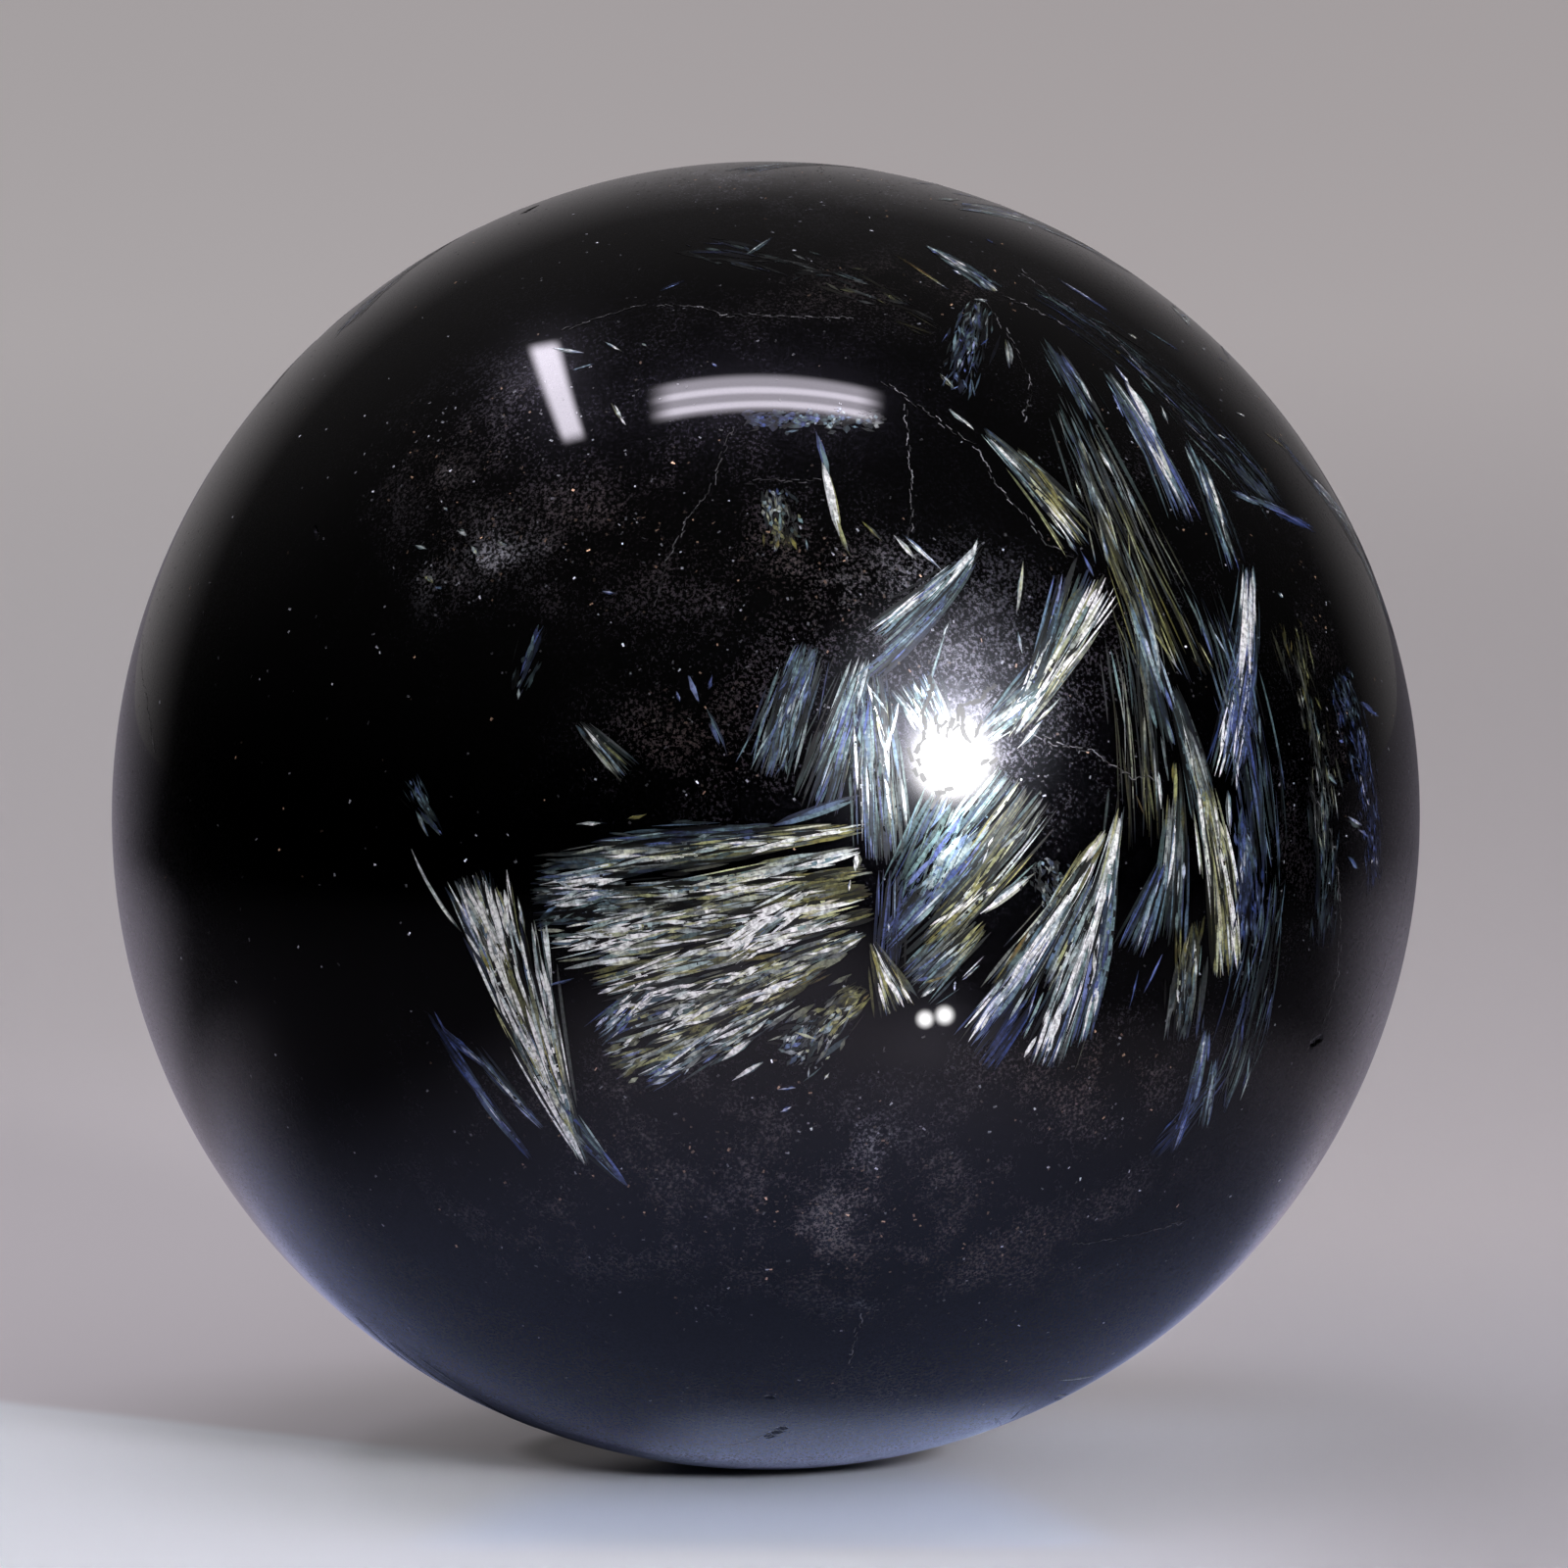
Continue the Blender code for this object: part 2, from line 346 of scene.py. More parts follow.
UPPER_RIGHT = (
    Spray("crown, teal spray", (946, 251), (1016, 296), (10, 26), 0.6, (STEEL, TEAL), 0.7, (40, 5)),
    blade("crown, teal flash", (946, 250), (985, 272), 6, 0.8, TEAL),
    blade("crown, first dot", (1006, 288), (1018, 297), 9, 1.4, 0.46),
    blade("crown, second dot", (994, 305), (1008, 306), 7, 1.1, TEAL),
    blade("crown, third dot", (972, 275), (982, 280), 7, 1.1, VIOLET),
    blade("crown, brown wisp", (905, 256), (966, 294), 7, 0.25, BROWN),
    blade("crown, pale dash", (1026, 345), (1030, 375), 10, 0.8, LEMON, WHITE),
    Spray("crown, teal curtain", (1000, 310), (975, 400), (30, 50), 0.2, (TEAL, STEEL), 0.8, (36, 4)),
    blade("rim, blue arc", (1079, 284), (1132, 318), 8, 0.9, VIOLET, BLUE),
    blade("rim, lower blue arc", (1163, 333), (1206, 360), 6, 0.5, STEEL),
    blade("rim, first dot", (1151, 340), (1160, 345), 9, 1.4, 0.55),
    blade("rim, second dot", (1260, 420), (1270, 424), 8, 1.3, TEAL),
    blade("rim, third dot", (1243, 444), (1251, 447), 7, 1.1, 0.46),
    blade("rim, fourth dot", (1304, 604), (1310, 609), 7, 1.3, WHITE),
    blade("rim, red grain", (1137, 356), (1144, 361), 6, 0.4, BROWN),
    blade("rim, first violet", (1010, 217), (1032, 221), 6, 0.4, 0.05),
    blade("rim, second violet", (1005, 243), (1016, 249), 6, 0.4, 0.05),
    blade("rim, third violet", (1244, 365), (1254, 371), 6, 0.4, 0.05),
    blade("shoulder, first dash", (959, 381), (975, 397), 6, 1.1, LEMON),
    blade("shoulder, second dash", (968, 416), (996, 440), 8, 1.2, TEAL, LEMON),
    Spray("golden fan, body", (1006, 440), (1106, 552), (14, 44), 0.9, (TEAL, OLIVE), 0.5, (70, 5)),
    Spray("golden fan, gold", (1040, 458), (1092, 530), (10, 22), 0.7, (0.72, OLIVE), 0.3, (60, 4)),
    blade("golden fan, thick flash", (1066, 510), (1106, 561), 13, 1.7, WHITE),
    blade("golden fan, side flash", (1086, 546), (1100, 566), 7, 1.1, TEAL),
    blade("golden fan, end", (1102, 560), (1116, 588), 6, 0.8, VIOLET),
    blade("small needle", (1124, 546), (1132, 578), 7, 1.0, TEAL),
    blade("upper dash", (1098, 381), (1115, 413), 10, 1.2, 0.42, STEEL),
    Spray("upper dash, veil", (1068, 345), (1120, 430), (20, 40), 0.16, (STEEL, TEAL), 0.5, (50, 4)),
    blade("pale needle", (1120, 458), (1136, 485), 8, 1.2, 0.45),
    blade("low needle", (1149, 496), (1160, 524), 8, 1.2, WHITE, VIOLET),
    blade("thin needle", (1138, 488), (1147, 511), 5, 0.9, TEAL),
    blade("short needle", (1113, 490), (1118, 508), 6, 0.8, TEAL),
    blade("yellow needle", (1097, 489), (1105, 512), 6, 0.9, LEMON),
    Spray("great blade, veil", (1128, 380), (1210, 530), (12, 46), 0.8, (TEAL, STEEL), 0.35, (90, 4)),
    blade("great blade, tip", (1136, 370), (1152, 392), 10, 1.0, 0.08),
    blade("great blade, flash", (1148, 388), (1180, 450), 17, 1.6, 0.44, TEAL, 2.0),
    blade("great blade, foot", (1176, 442), (1204, 520), 14, 0.8, TEAL, OLIVE, 2.0),
    blade("beside the great blade", (1183, 410), (1192, 432), 9, 1.2, TEAL),
    blade("outer blade", (1227, 470), (1254, 566), 12, 1.1, LEMON, 0.44, 3.0),
    Spray("outer blade, veil", (1212, 452), (1262, 580), (18, 34), 0.35, (STEEL, TEAL), 0.5, (60, 5)),
    blade("edge blade, bright", (1256, 500), (1284, 514), 8, 1.1, STEEL),
    Spray("edge blade, long", (1257, 502), (1340, 538), (8, 14), 0.7, (TEAL, BLUE), 0.4, (60, 5)),
    Spray("grey green band", (1257, 476), (1302, 518), (16, 26), 0.3, (TEAL, TEAL), 0.3, (50, 5)),
    blade("outer olive wisp", (1285, 437), (1318, 463), 9, 0.3, OLIVE),
    Spray("right sky, faint", (1060, 300), (1300, 520), (50, 90), 0.08, (STEEL, TEAL), 0.5, (60, 3.5)),
)

RIGHT_SIDE = (
    blade("long arc, top", (1163, 603), (1185, 712), 13, 1.0, 0.47, TEAL, 4.0),
    Spray("long arc, veil", (1150, 600), (1196, 760), (20, 40), 0.3, (STEEL, TEAL), 0.4, (80, 5)),
    blade("outer arc, flash", (1271, 585), (1263, 706), 16, 1.4, STEEL, 0.44, -2.0),
    blade("outer arc, foot", (1264, 690), (1256, 764), 11, 0.6, STEEL, BLUE),
    Spray("outer arc, veil", (1275, 580), (1250, 790), (24, 56), 1.3, (STEEL, 0.15), 0.4, (80, 4)),
    Spray("trunk, upper", (1196, 700), (1232, 830), (16, 40), 0.5, (STEEL, LEMON), 0.45, (80, 5)),
    Spray("trunk, lower", (1228, 800), (1252, 990), (28, 44), 1.15, (LEMON, 0.68), 0.5, (80, 5)),
    Spray("trunk, left strand", (1200, 780), (1192, 960), (14, 40), 0.35, (OLIVE, STEEL), 0.5, (70, 5)),
    blade("trunk, first flash", (1200, 716), (1214, 762), 8, 1.2, 0.46),
    blade("trunk, second flash", (1214, 762), (1221, 804), 8, 1.0, WHITE, TEAL),
    blade("trunk, third flash", (1180, 782), (1185, 824), 9, 1.5, WHITE),
    blade("trunk, fourth flash", (1199, 815), (1191, 906), 9, 1.0, 0.42, VIOLET, 2.0),
    blade("trunk, fifth flash", (1221, 796), (1230, 872), 10, 1.6, WHITE, LEMON),
    blade("trunk, great flash", (1239, 848), (1259, 966), 14, 1.6, LEMON, WHITE, 3.0),
    blade("trunk, great flash, head", (1238, 810), (1246, 870), 8, 1.1, LEMON),
    blade("trunk, last flash", (1252, 930), (1262, 988), 7, 1.1, 0.44, VIOLET),
    blade("trunk, side flash", (1253, 806), (1256, 852), 9, 1.3, WHITE, STEEL),
    blade("trunk, far flash", (1270, 866), (1268, 900), 10, 1.1, STEEL),
    blade("trunk, far blue", (1278, 816), (1276, 834), 6, 0.9, BLUE),
    blade("trunk, low flash", (1219, 958), (1220, 1009), 8, 1.4, WHITE, VIOLET),
    blade("trunk, low left flash", (1214, 950), (1209, 975), 6, 1.2, LEMON),
    blade("trunk, lowest flash", (1201, 1008), (1203, 1024), 7, 1.3, TEAL),
    blade("trunk, deep blue", (1189, 968), (1167, 1014), 6, 0.8, 0.03),
    blade("trunk, deep blue, left", (1162, 990), (1152, 1030), 4, 0.5, 0.03),
    Spray("trunk, right crumbs", (1268, 830), (1274, 960), (24, 40), 0.4, (STEEL, VIOLET), 0.8, (40, 5)),
    Spray("trunk, dull foot", (1215, 940), (1205, 1060), (40, 40), 0.3, (OLIVE, TEAL), 0.7, (50, 5)),
    blade("tail, flash", (1230, 1056), (1225, 1086), 8, 1.0, 0.44),
    Spray("tail, upper", (1232, 1050), (1214, 1130), (12, 22), 0.6, (TEAL, STEEL), 0.4, (60, 4)),
    Spray("tail, lower", (1216, 1118), (1196, 1175), (14, 12), 0.6, (STEEL, BLUE), 0.4, (60, 4)),
    Spray("tail, right", (1240, 1080), (1228, 1150), (10, 18), 0.4, (STEEL, TEAL), 0.4, (50, 4)),
    Spray("rim group, veil", (1366, 690), (1404, 900), (60, 44), 0.16, (STEEL, BLUE), 0.8, (26, 4)),
    Spray("rim group, brown veil", (1316, 640), (1350, 960), (60, 50), 0.10, (OLIVE, STEEL), 0.7, (36, 4)),
    blade("rim group, high dash", (1396, 770), (1402, 800), 6, 0.6, VIOLET, BLUE),
    blade("rim group, low dash", (1400, 815), (1404, 835), 7, 0.8, VIOLET, BLUE),
    blade("rim group, first", (1374, 832), (1390, 842), 12, 1.1, 0.43),
    blade("rim group, second", (1352, 789), (1364, 800), 9, 0.7, TEAL),
    blade("rim group, third", (1374, 874), (1386, 886), 11, 0.8, STEEL),
    blade("rim group, blue dot", (1386, 846), (1396, 853), 8, 0.9, BLUE),
    blade("rim group, blue dash", (1385, 716), (1408, 732), 8, 0.7, 0.05),
    Spray("right veil, upper", (1086, 410), (1200, 690), (50, 110), 0.13, (TEAL, OLIVE), 0.4,
          (80, 3.5), -12.0, fades=(0.4, 0.1)),
    Spray("right veil, outer", (1230, 600), (1290, 900), (70, 70), 0.14, (TEAL, 0.3), 0.4, (80, 3.5)),
    Spray("right veil, lower", (1150, 640), (1170, 860), (60, 70), 0.09, (TEAL, OLIVE), 0.4, (80, 3.5)),
    Spray("right veil, low", (1296, 900), (1244, 1130), (50, 80), 0.10, (STEEL, TEAL), 0.5, (60, 3.5)),
    Spray("right veil, under the tail", (1250, 1090), (1180, 1180), (24, 50), 0.12, (STEEL, BLUE), 0.4,
          (50, 3.5)),
)

LOWER_RIGHT = (
    Spray("right fan, heart", (1120, 897), (1072, 1010), (16, 28), 1.35, (WHITE, WHITE), 0.3, (80, 5)),
    Spray("right fan, main", (1143, 826), (1068, 1078), (10, 62), 1.4, (LEMON, TEAL), 0.35, (90, 5)),
    Spray("right fan, foot", (1090, 1010), (1064, 1086), (24, 26), 1.2, (WHITE, STEEL), 0.4, (60, 5)),
    Spray("right fan, right limb", (1138, 860), (1108, 1058), (10, 34), 0.7, (TEAL, STEEL), 0.4, (80, 5)),
    Spray("right fan, left limb", (1128, 850), (1010, 1030), (8, 54), 1.3, (OLIVE, TEAL), 0.4, (80, 5)),
    Spray("right fan, blue limb", (1090, 920), (990, 1064), (14, 44), 1.25, (TEAL, VIOLET), 0.4, (70, 4)),
    blade("right fan, white edge", (1117, 968), (1116, 998), 9, 1.5, WHITE),
    blade("right fan, cream foot", (1116, 1008), (1104, 1062), 12, 1.0, 0.57, LEMON),
    blade("right fan, tip", (1076, 1060), (1064, 1088), 6, 1.1, 0.42, VIOLET),
    blade("right fan, first olive", (1103, 868), (1060, 940), 7, 0.8, LEMON, OLIVE),
    blade("right fan, long olive", (1050, 950), (1008, 1012), 8, 0.8, OLIVE, LEMON),
    blade("right fan, pale limb", (1090, 922), (1049, 976), 7, 1.2, 0.44, STEEL),
    blade("right fan, low limb", (1046, 985), (1014, 1022), 6, 1.1, LEMON),
    blade("right fan, blue thread", (1060, 1000), (1048, 1040), 4, 0.9, 0.03),
    Spray("right fan, blue haze", (1050, 1020), (1004, 1086), (26, 40), 0.22, (BLUE, BLUE), 0.4, (50, 4)),
    Spray("next fan", (1188, 880), (1156, 970), (12, 40), 0.6, (TEAL, STEEL), 0.35, (70, 4)),
    blade("next fan, edge", (1176, 915), (1160, 968), 6, 0.9, TEAL, VIOLET),
    Spray("cross grain", (1060, 880), (1082, 920), (44, 44), 0.10, (TEAL, WHITE), 0.9, (12, 5)),
)

UPPER_LEFT = (
    blade("blue thread", (671, 298), (699, 286), 5, 0.6, STEEL, 0.05),
    blade("blue white thread", (760, 261), (788, 242), 6, 0.8, STEEL, TEAL),
    blade("left lamp, flake", (563, 355), (597, 360), 7, 1.0, 0.44, TEAL),
    blade("green flake", (617, 349), (637, 360), 7, 1.3, TEAL, LEMON),
    blade("small dot", (655, 350), (661, 354), 5, 0.9, WHITE),
    blade("blue dot", (726, 370), (732, 374), 6, 0.8, 0.05),
    blade("low flake", (582, 378), (605, 371), 6, 0.6, STEEL),
    blade("yellow flake", (623, 409), (638, 433), 9, 1.2, WHITE, LEMON),
    blade("smoke, first flake", (466, 541), (477, 548), 8, 0.9, WHITE),
    blade("smoke, second flake", (481, 556), (488, 567), 8, 1.0, WHITE, LEMON),
    blade("smoke, third flake", (423, 556), (435, 560), 6, 0.7, WHITE),
    blade("smoke, fourth flake", (433, 588), (442, 595), 7, 0.9, LEMON, WHITE),
    blade("smoke, fifth flake", (444, 599), (451, 601), 5, 0.5, VIOLET),
    blade("smoke, sixth flake", (452, 517), (457, 521), 5, 0.8, WHITE),
    blade("smoke, seventh flake", (508, 552), (517, 556), 5, 0.5, TEAL),
    blade("smoke, eighth flake", (528, 519), (533, 520), 4, 0.7, LEMON),
    blade("violet dash", (614, 603), (628, 605), 5, 1.0, VIOLET),
    Spray("teal shadow", (556, 640), (526, 712), (34, 20), 0.13, (STEEL, TEAL), 0.6, (30, 5)),
    blade("white arrow", (595, 741), (624, 775), 9, 1.6, 0.47),
    Spray("white arrow's sheath", (590, 738), (638, 790), (10, 26), 0.4, (TEAL, LEMON), 0.4, (50, 4)),
    blade("first blue needle", (702, 687), (713, 716), 9, 0.9, 0.08, VIOLET),
    blade("second blue needle", (689, 702), (694, 716), 5, 0.8, 0.03),
    blade("third blue needle", (727, 688), (723, 703), 5, 0.7, 0.05),
    blade("long steel needle", (720, 722), (742, 772), 10, 0.55, STEEL, VIOLET),
    blade("flat white dash", (588, 841), (618, 840), 6, 1.3, WHITE),
    blade("olive dash", (639, 836), (659, 831), 5, 0.6, OLIVE),
    Spray("top left, faint", (700, 250), (960, 330), (80, 60), 0.04, (STEEL, OLIVE), 0.7, (40, 5)),
    Spray("far low left, faint", (640, 1210), (560, 1120), (6, 40), 0.25, (TEAL, STEEL), 0.4, (60, 4)),
)

FRONT_SPRAYS = (
    GLOW
    + LEFT_FLAME
    + CENTRE_FAN
    + MIDDLE
    + ABOVE_LIGHT
    + UPPER_RIGHT
    + RIGHT_SIDE
    + LOWER_RIGHT
    + UPPER_LEFT
)


class Ground(NamedTuple):
    """A soft patch between the needles, in the photograph's pixels."""

    name: str
    middle: tuple
    reach: tuple
    grains: float = 0.0
    warmth: float = 0.0
    smoke: float = 0.0


FRONT_GROUND = (
    Ground("brown grain, upper left", (640, 540), (190, 90), 1.0, 0.7),
    Ground("brown grain, far left", (440, 470), (80, 60), 0.5, 0.5),
    Ground("brown grain, middle", (705, 750), (90, 70), 0.9, 0.9),
    Ground("bright grain, upper left", (460, 580), (50, 40), 1.0, 0.3),
    Ground("smoke, upper left", (505, 565), (46, 24), 0.3, 0.1, 1.0),
    Ground("smoke, left edge", (440, 590), (14, 26), 0.5, 0.3, 0.8),
    Ground("smoke, bottom", (890, 1166), (26, 26), 0.2, 0.0, 0.8),
    Ground("smoke, lowest", (876, 1333), (18, 5), 0.0, 0.0, 1.0),
    Ground("brown haze, bottom left", (700, 1170), (200, 90), 0.45, 0.8, 0.1),
    Ground("brown haze, bottom", (840, 1240), (120, 70), 0.6, 1.0, 0.2),
    Ground("gold grain", (800, 1225), (24, 14), 1.0, 1.0, 0.0),
    Ground("brown grain, lower right", (1120, 1090), (110, 50), 0.8, 0.9),
    Ground("brown haze, lower right", (1060, 1200), (160, 90), 0.4, 0.5),
    Ground("brown top", (900, 290), (160, 60), 0.35, 0.8),
    Ground("brown grain, by the side panel", (480, 460), (80, 90), 1.0, 0.3, 0.2),
    Ground("brown grain, under the tubes", (850, 590), (70, 50), 0.6, 0.9),
    Ground("brown grain, far right", (1370, 720), (50, 160), 0.6, 0.6),
    Ground("lilac grain, right", (1150, 700), (60, 90), 0.4, 0.3),
    Ground("brown grain, bottom", (940, 1290), (260, 70), 0.35, 0.8),
    Ground("brown grain, low left", (560, 1260), (120, 60), 0.3, 0.8),
    Ground("grain, foot", (800, 1430), (160, 40), 0.2, 0.3),
    Ground("clear black, under the arrow", (590, 690), (36, 60), -0.6),
    Ground("clear black, over the light", (960, 500), (60, 50), -0.6),
    Ground("clear black, right of the light", (1130, 830), (40, 30), -0.5),
    # Grain and smoke round the round lamp's highlight: partly the stone's own grain, partly a painted halo.
    Ground("lilac grain, around the light", (930, 590), (90, 40), 0.8, 0.1, 0.5),
    Ground("lilac grain, by the steel fan", (868, 610), (46, 40), 0.8, 0.1, 0.4),
    Ground("lilac grain, over the light", (965, 665), (80, 50), 0.7, 0.1, 0.25),
    Ground("lilac grain, right of the light", (1050, 720), (60, 90), 0.4, 0.0, 0.3),
    Ground("grain, right half", (1180, 480), (120, 130), 0.35, 0.3),
    Ground("grain, left of the light", (830, 620), (80, 60), 0.5, 0.2),
    Ground("grain, right of the fans", (1310, 900), (70, 120), 0.4, 0.4),
    Ground("clear black, left", (330, 760), (130, 260), -0.6, 0.0),
)


class Crack(NamedTuple):
    """A hairline crack on the front, by the pixels that it passes.

    With a light of 0 it is open, a dark line that the polish doesn't cover.
    """

    name: str
    route: tuple
    light: float


FRONT_CRACKS = (
    Crack("across the top", ((671, 310), (716, 314), (734, 321), (800, 323), (870, 325)), 0.5),
    Crack("top left", ((573, 336), (615, 322), (658, 310)), 0.4),
    Crack("left of the pillar",
          ((750, 436), (735, 467), (725, 500), (702, 528), (687, 559), (666, 617)), 0.3),
    Crack("level vein", ((760, 491), (800, 489), (837, 491)), 0.2),
    Crack("above the light", ((923, 412), (927, 460), (931, 519), (930, 549)), 0.55),
    Crack("long slant",
          ((900, 389), (959, 430), (999, 458), (1015, 493), (1043, 524), (1068, 555), (1094, 567)), 0.6),
    Crack("right of the light",
          ((1055, 748), (1078, 761), (1116, 766), (1131, 781), (1159, 793), (1177, 795)), 0.6),
    Crack("right edge", ((1339, 806), (1362, 864), (1367, 933), (1365, 997), (1349, 1048)), 0.5),
    Crack("upper edge",
          ((1035, 271), (1076, 305), (1130, 338), (1176, 389), (1198, 417), (1230, 450)), 0.6),
    Crack("under the crown", ((1022, 302), (1060, 318), (1099, 338)), 0.6),
    Crack("crown", ((1004, 305), (1034, 350), (1052, 392), (1046, 430)), 0.45),
    Crack("bottom right", ((1094, 1270), (1150, 1262), (1211, 1245)), 0.3),
    Crack("bottom", ((880, 1340), (872, 1368), (866, 1391)), 0.4),
    Crack("foot scratch", ((740, 1476), (765, 1472), (786, 1462)), 0.3),
    Crack("open, over the light", ((1016, 698), (1000, 712), (982, 718), (976, 734), (962, 744)), 0.0),
    Crack("open, left of the light", ((951, 690), (948, 712), (940, 728), (944, 752), (936, 768)), 0.0),
    Crack("open, first tooth", ((958, 728), (956, 748)), 0.0),
    Crack("open, second tooth", ((972, 732), (968, 752)), 0.0),
    Crack("open, third tooth", ((984, 722), (984, 746), (992, 756)), 0.0),
    Crack("open, fourth tooth", ((1002, 735), (996, 752)), 0.0),
    Crack("open, fifth tooth", ((928, 762), (936, 782), (944, 796)), 0.0),
    Crack("open, right tooth", ((1018, 772), (1002, 780)), 0.0),
    Crack("open, low tooth", ((950, 826), (956, 808), (972, 806)), 0.0),
)


class Pit(NamedTuple):
    """A small hole that the polish left open, in the photograph's pixels."""

    name: str
    root: tuple
    tip: tuple
    width: float
    depth: float


FRONT_PITS = (
    Pit("comma by the foot", (784, 1466), (798, 1458), 9, 0.00012),
    Pit("dot by the foot", (785, 1426), (789, 1426), 5, 0.00008),
    Pit("right edge", (1339, 1066), (1348, 1060), 8, 0.00010),
    Pit("left notch", (536, 216), (545, 211), 7, 0.00010),
    Pit("left scuff", (322, 538), (325, 548), 4, 0.00006),
)

# The sheet's far edge, from the left side of the picture to behind the ball.
SHEET_EDGE = ((0, 1430), (600, 1500))

# How the sides, the back and the ends are filled, out of the front's reach.
SEED = 11
CLUSTERS = 34
CLUSTER_SPRAYS = 8
CLUSTER_FANS = 3
SCATTERED_CRACKS = 26
SCATTERED_PATCHES = 30
FRONT_KEPT_FREE = math.cos(math.radians(72.0))
# A cluster's strength, and how its sprays turn and move, in radians.
CLUSTER_STRENGTH = (0.35, 1.0)
FANNED_OUT, MOVED_ASIDE, MOVED_ALONG = 0.25, 0.07, (-0.16, 0.05)
# Lengths in metres, widths and grain in the photograph's pixels, and lights as for a Spray.
FAN_LENGTHS, FAN_ROOTS, FAN_TIPS = (0.006, 0.013), (8, 20), (24, 60)
FAN_LIGHTS, FAN_CHOPS = (0.4, 1.0), (0.3, 0.8)
FAN_GRAIN_LONG, FAN_GRAIN_THICK = (50, 90), (4, 6)
BLADE_LENGTHS, BLADE_WIDTHS, BLADE_LIGHTS = (0.0015, 0.004), (5, 12), (0.8, 1.6)
# A scattered crack's number of legs, their angles and turns in radians, and its light.
CRACK_LEGS, CRACK_LEG_ANGLES, CRACK_TURN, CRACK_LIGHTS = (3, 7), (0.04, 0.09), 0.35, (0.25, 0.6)
# A scattered patch's reach in metres, its narrowness, and its grain, warmth and smoke.
PATCH_REACHES, PATCH_NARROWER = (0.003, 0.008), (0.4, 1.0)
PATCH_GRAINS, PATCH_WARMTHS, PATCH_SMOKES = (0.2, 0.9), (0.0, 0.9), (0, 0, 0, 0.7)
GRAINY_EVERYWHERE = 0.02
MOST_GROUND = 1.4

# The ball's mesh, and how far its surface lies inside the frame's ball, under the slivers.
BALL_DIVISIONS = 7
PIT_ROOM = 0.0009
CUT_THRESHOLD = 1e-7
INLAY = 0.000020
LOWEST_SLIVER = 0.000006
LONGEST_SPAN = 0.0009
SMOOTH_BELOW = math.radians(4.0)


class Pass(NamedTuple):
    """One pass of needles over a spray, measured against the spray's own grain."""

    name: str
    cover: float
    long: float
    thick: float
    lights: tuple
    levels: tuple
    spread: float


FAN_PASSES = (
    Pass("felt", 1.0, 1.5, 0.95, (0.05, 0.28), (0.0, 0.2), 0.52),
    Pass("threads", 2.15, 1.0, 0.55, (0.10, 1.0), (0.2, 0.6), 0.5),
    Pass("gaps", 0.5, 0.9, 0.6, (0.0, 0.01), (0.5, 0.7), 0.5),
    Pass("flashes", 0.6, 0.5, 0.6, (0.50, 1.60), (0.7, 1.0), 0.46),
)
BLADE_PASSES = (
    Pass("edges", 1.6, 0.7, 0.9, (0.10, 0.50), (0.2, 0.5), 0.55),
    Pass("core", 1.1, 0.6, 0.8, (0.65, 1.2), (0.7, 1.0), 0.25),
)
# Where a spray is fainter than this, its needles lie further apart.
FULLY_COVERED = 0.5
THINNEST = 0.3

# How single needles differ: in size, in how far aside they lie and in how they lean. The mean
# needle is at most this share of its spray, and a blade's outline fills this share of its box.
SIZES_FROM, SIZES_TO = 0.45, 1.55
LONGER_ONES = 1.5
LONGEST_SHARE = 0.9
PAST_ROOT = 0.04
BLADE_FILLS = 0.7
FARTHEST_ASIDE = 1.35
LEAN, CHOPPED_LEAN = 0.10, 0.10
NARROW_END = 0.16
FEWEST_STATIONS, MOST_STATIONS = 3, 12
# Silky sprays have long needles and chopped ones short ones, in shares of their grain.
SILKY_LENGTH, CHOPPED_SHORTER = 1.45, 0.95
# The tufts in a spray, in shares of its grain, and how light they and the gaps are.
TUFT_LONG, TUFT_WIDE, TUFT_CONTRAST = 1.1, 3.0, 0.95
TUFT_LIGHT, GAP_LIGHT = 1.3, 0.15
# Most needles are dim: a higher number makes the bright ones rarer.
DIM_MOSTLY = 1.7
DIM_ENDS = 0.35
END_LIGHT = 0.3
# How the hues wander, and the shares of needles that are cooler or end in violet. The violet
# begins at VIOLET_LATE / VIOLET_RISE of a needle's length.
HUE_WANDER = 0.07
COOLER_SHARE, COOLER_BY = 0.28, 0.2
VIOLET_SHARE = 0.35
VIOLET_RISE, VIOLET_LATE = 2.5, 1.5
# Needles brighter than this turn white, over this range.
WHITE_FROM, WHITE_OVER = 0.55, 0.7
BRIGHTEST = 0.98


class Lie:
    """A spray laid on the ball: two directions from the centre, and sizes in metres."""

    def __init__(self, root, tip, spray, unit):
        self.root = root
        self.tip = tip
        self.length = RADIUS * root.angle(tip)
        self.widths = [width * unit for width in spray.widths]
        self.light = spray.light
        self.hues = spray.hues
        self.chop = spray.chop
        self.grain = [size * unit for size in spray.grain]
        self.bow = spray.bow * unit
        self.solid = spray.solid
        self.fades = spray.fades
        self.metal = spray.metal

    def half(self, part):
        """Half the spray's width at parts of its length."""
        open_fan = (self.widths[0] + (self.widths[1] - self.widths[0]) * np.clip(part, 0.0, 1.0)) / 2
        pointed = np.sqrt(np.clip(4 * part * (1 - part), 0.0, 1.0))
        return open_fan * (1 + (pointed - 1) * self.solid)

    def places(self, part, across):
        """The directions of points at parts of the length and at shares of half the width."""
        pole = np.array(self.root.cross(self.tip).normalized())
        start = np.array(self.root)
        ahead = np.cross(pole, start)
        angle = (part * self.length / RADIUS)[..., None]
        aside = (across * self.half(part) + self.bow * 4 * part * (1 - part)) / RADIUS
        along = start * np.cos(angle) + ahead * np.sin(angle)
        return along * np.cos(aside)[..., None] + pole * np.sin(aside)[..., None]


def front_lies():
    """The front's sprays, laid on the ball."""
    return [Lie(on_ball(spray.root), on_ball(spray.tip), spray, PIXEL) for spray in FRONT_SPRAYS]


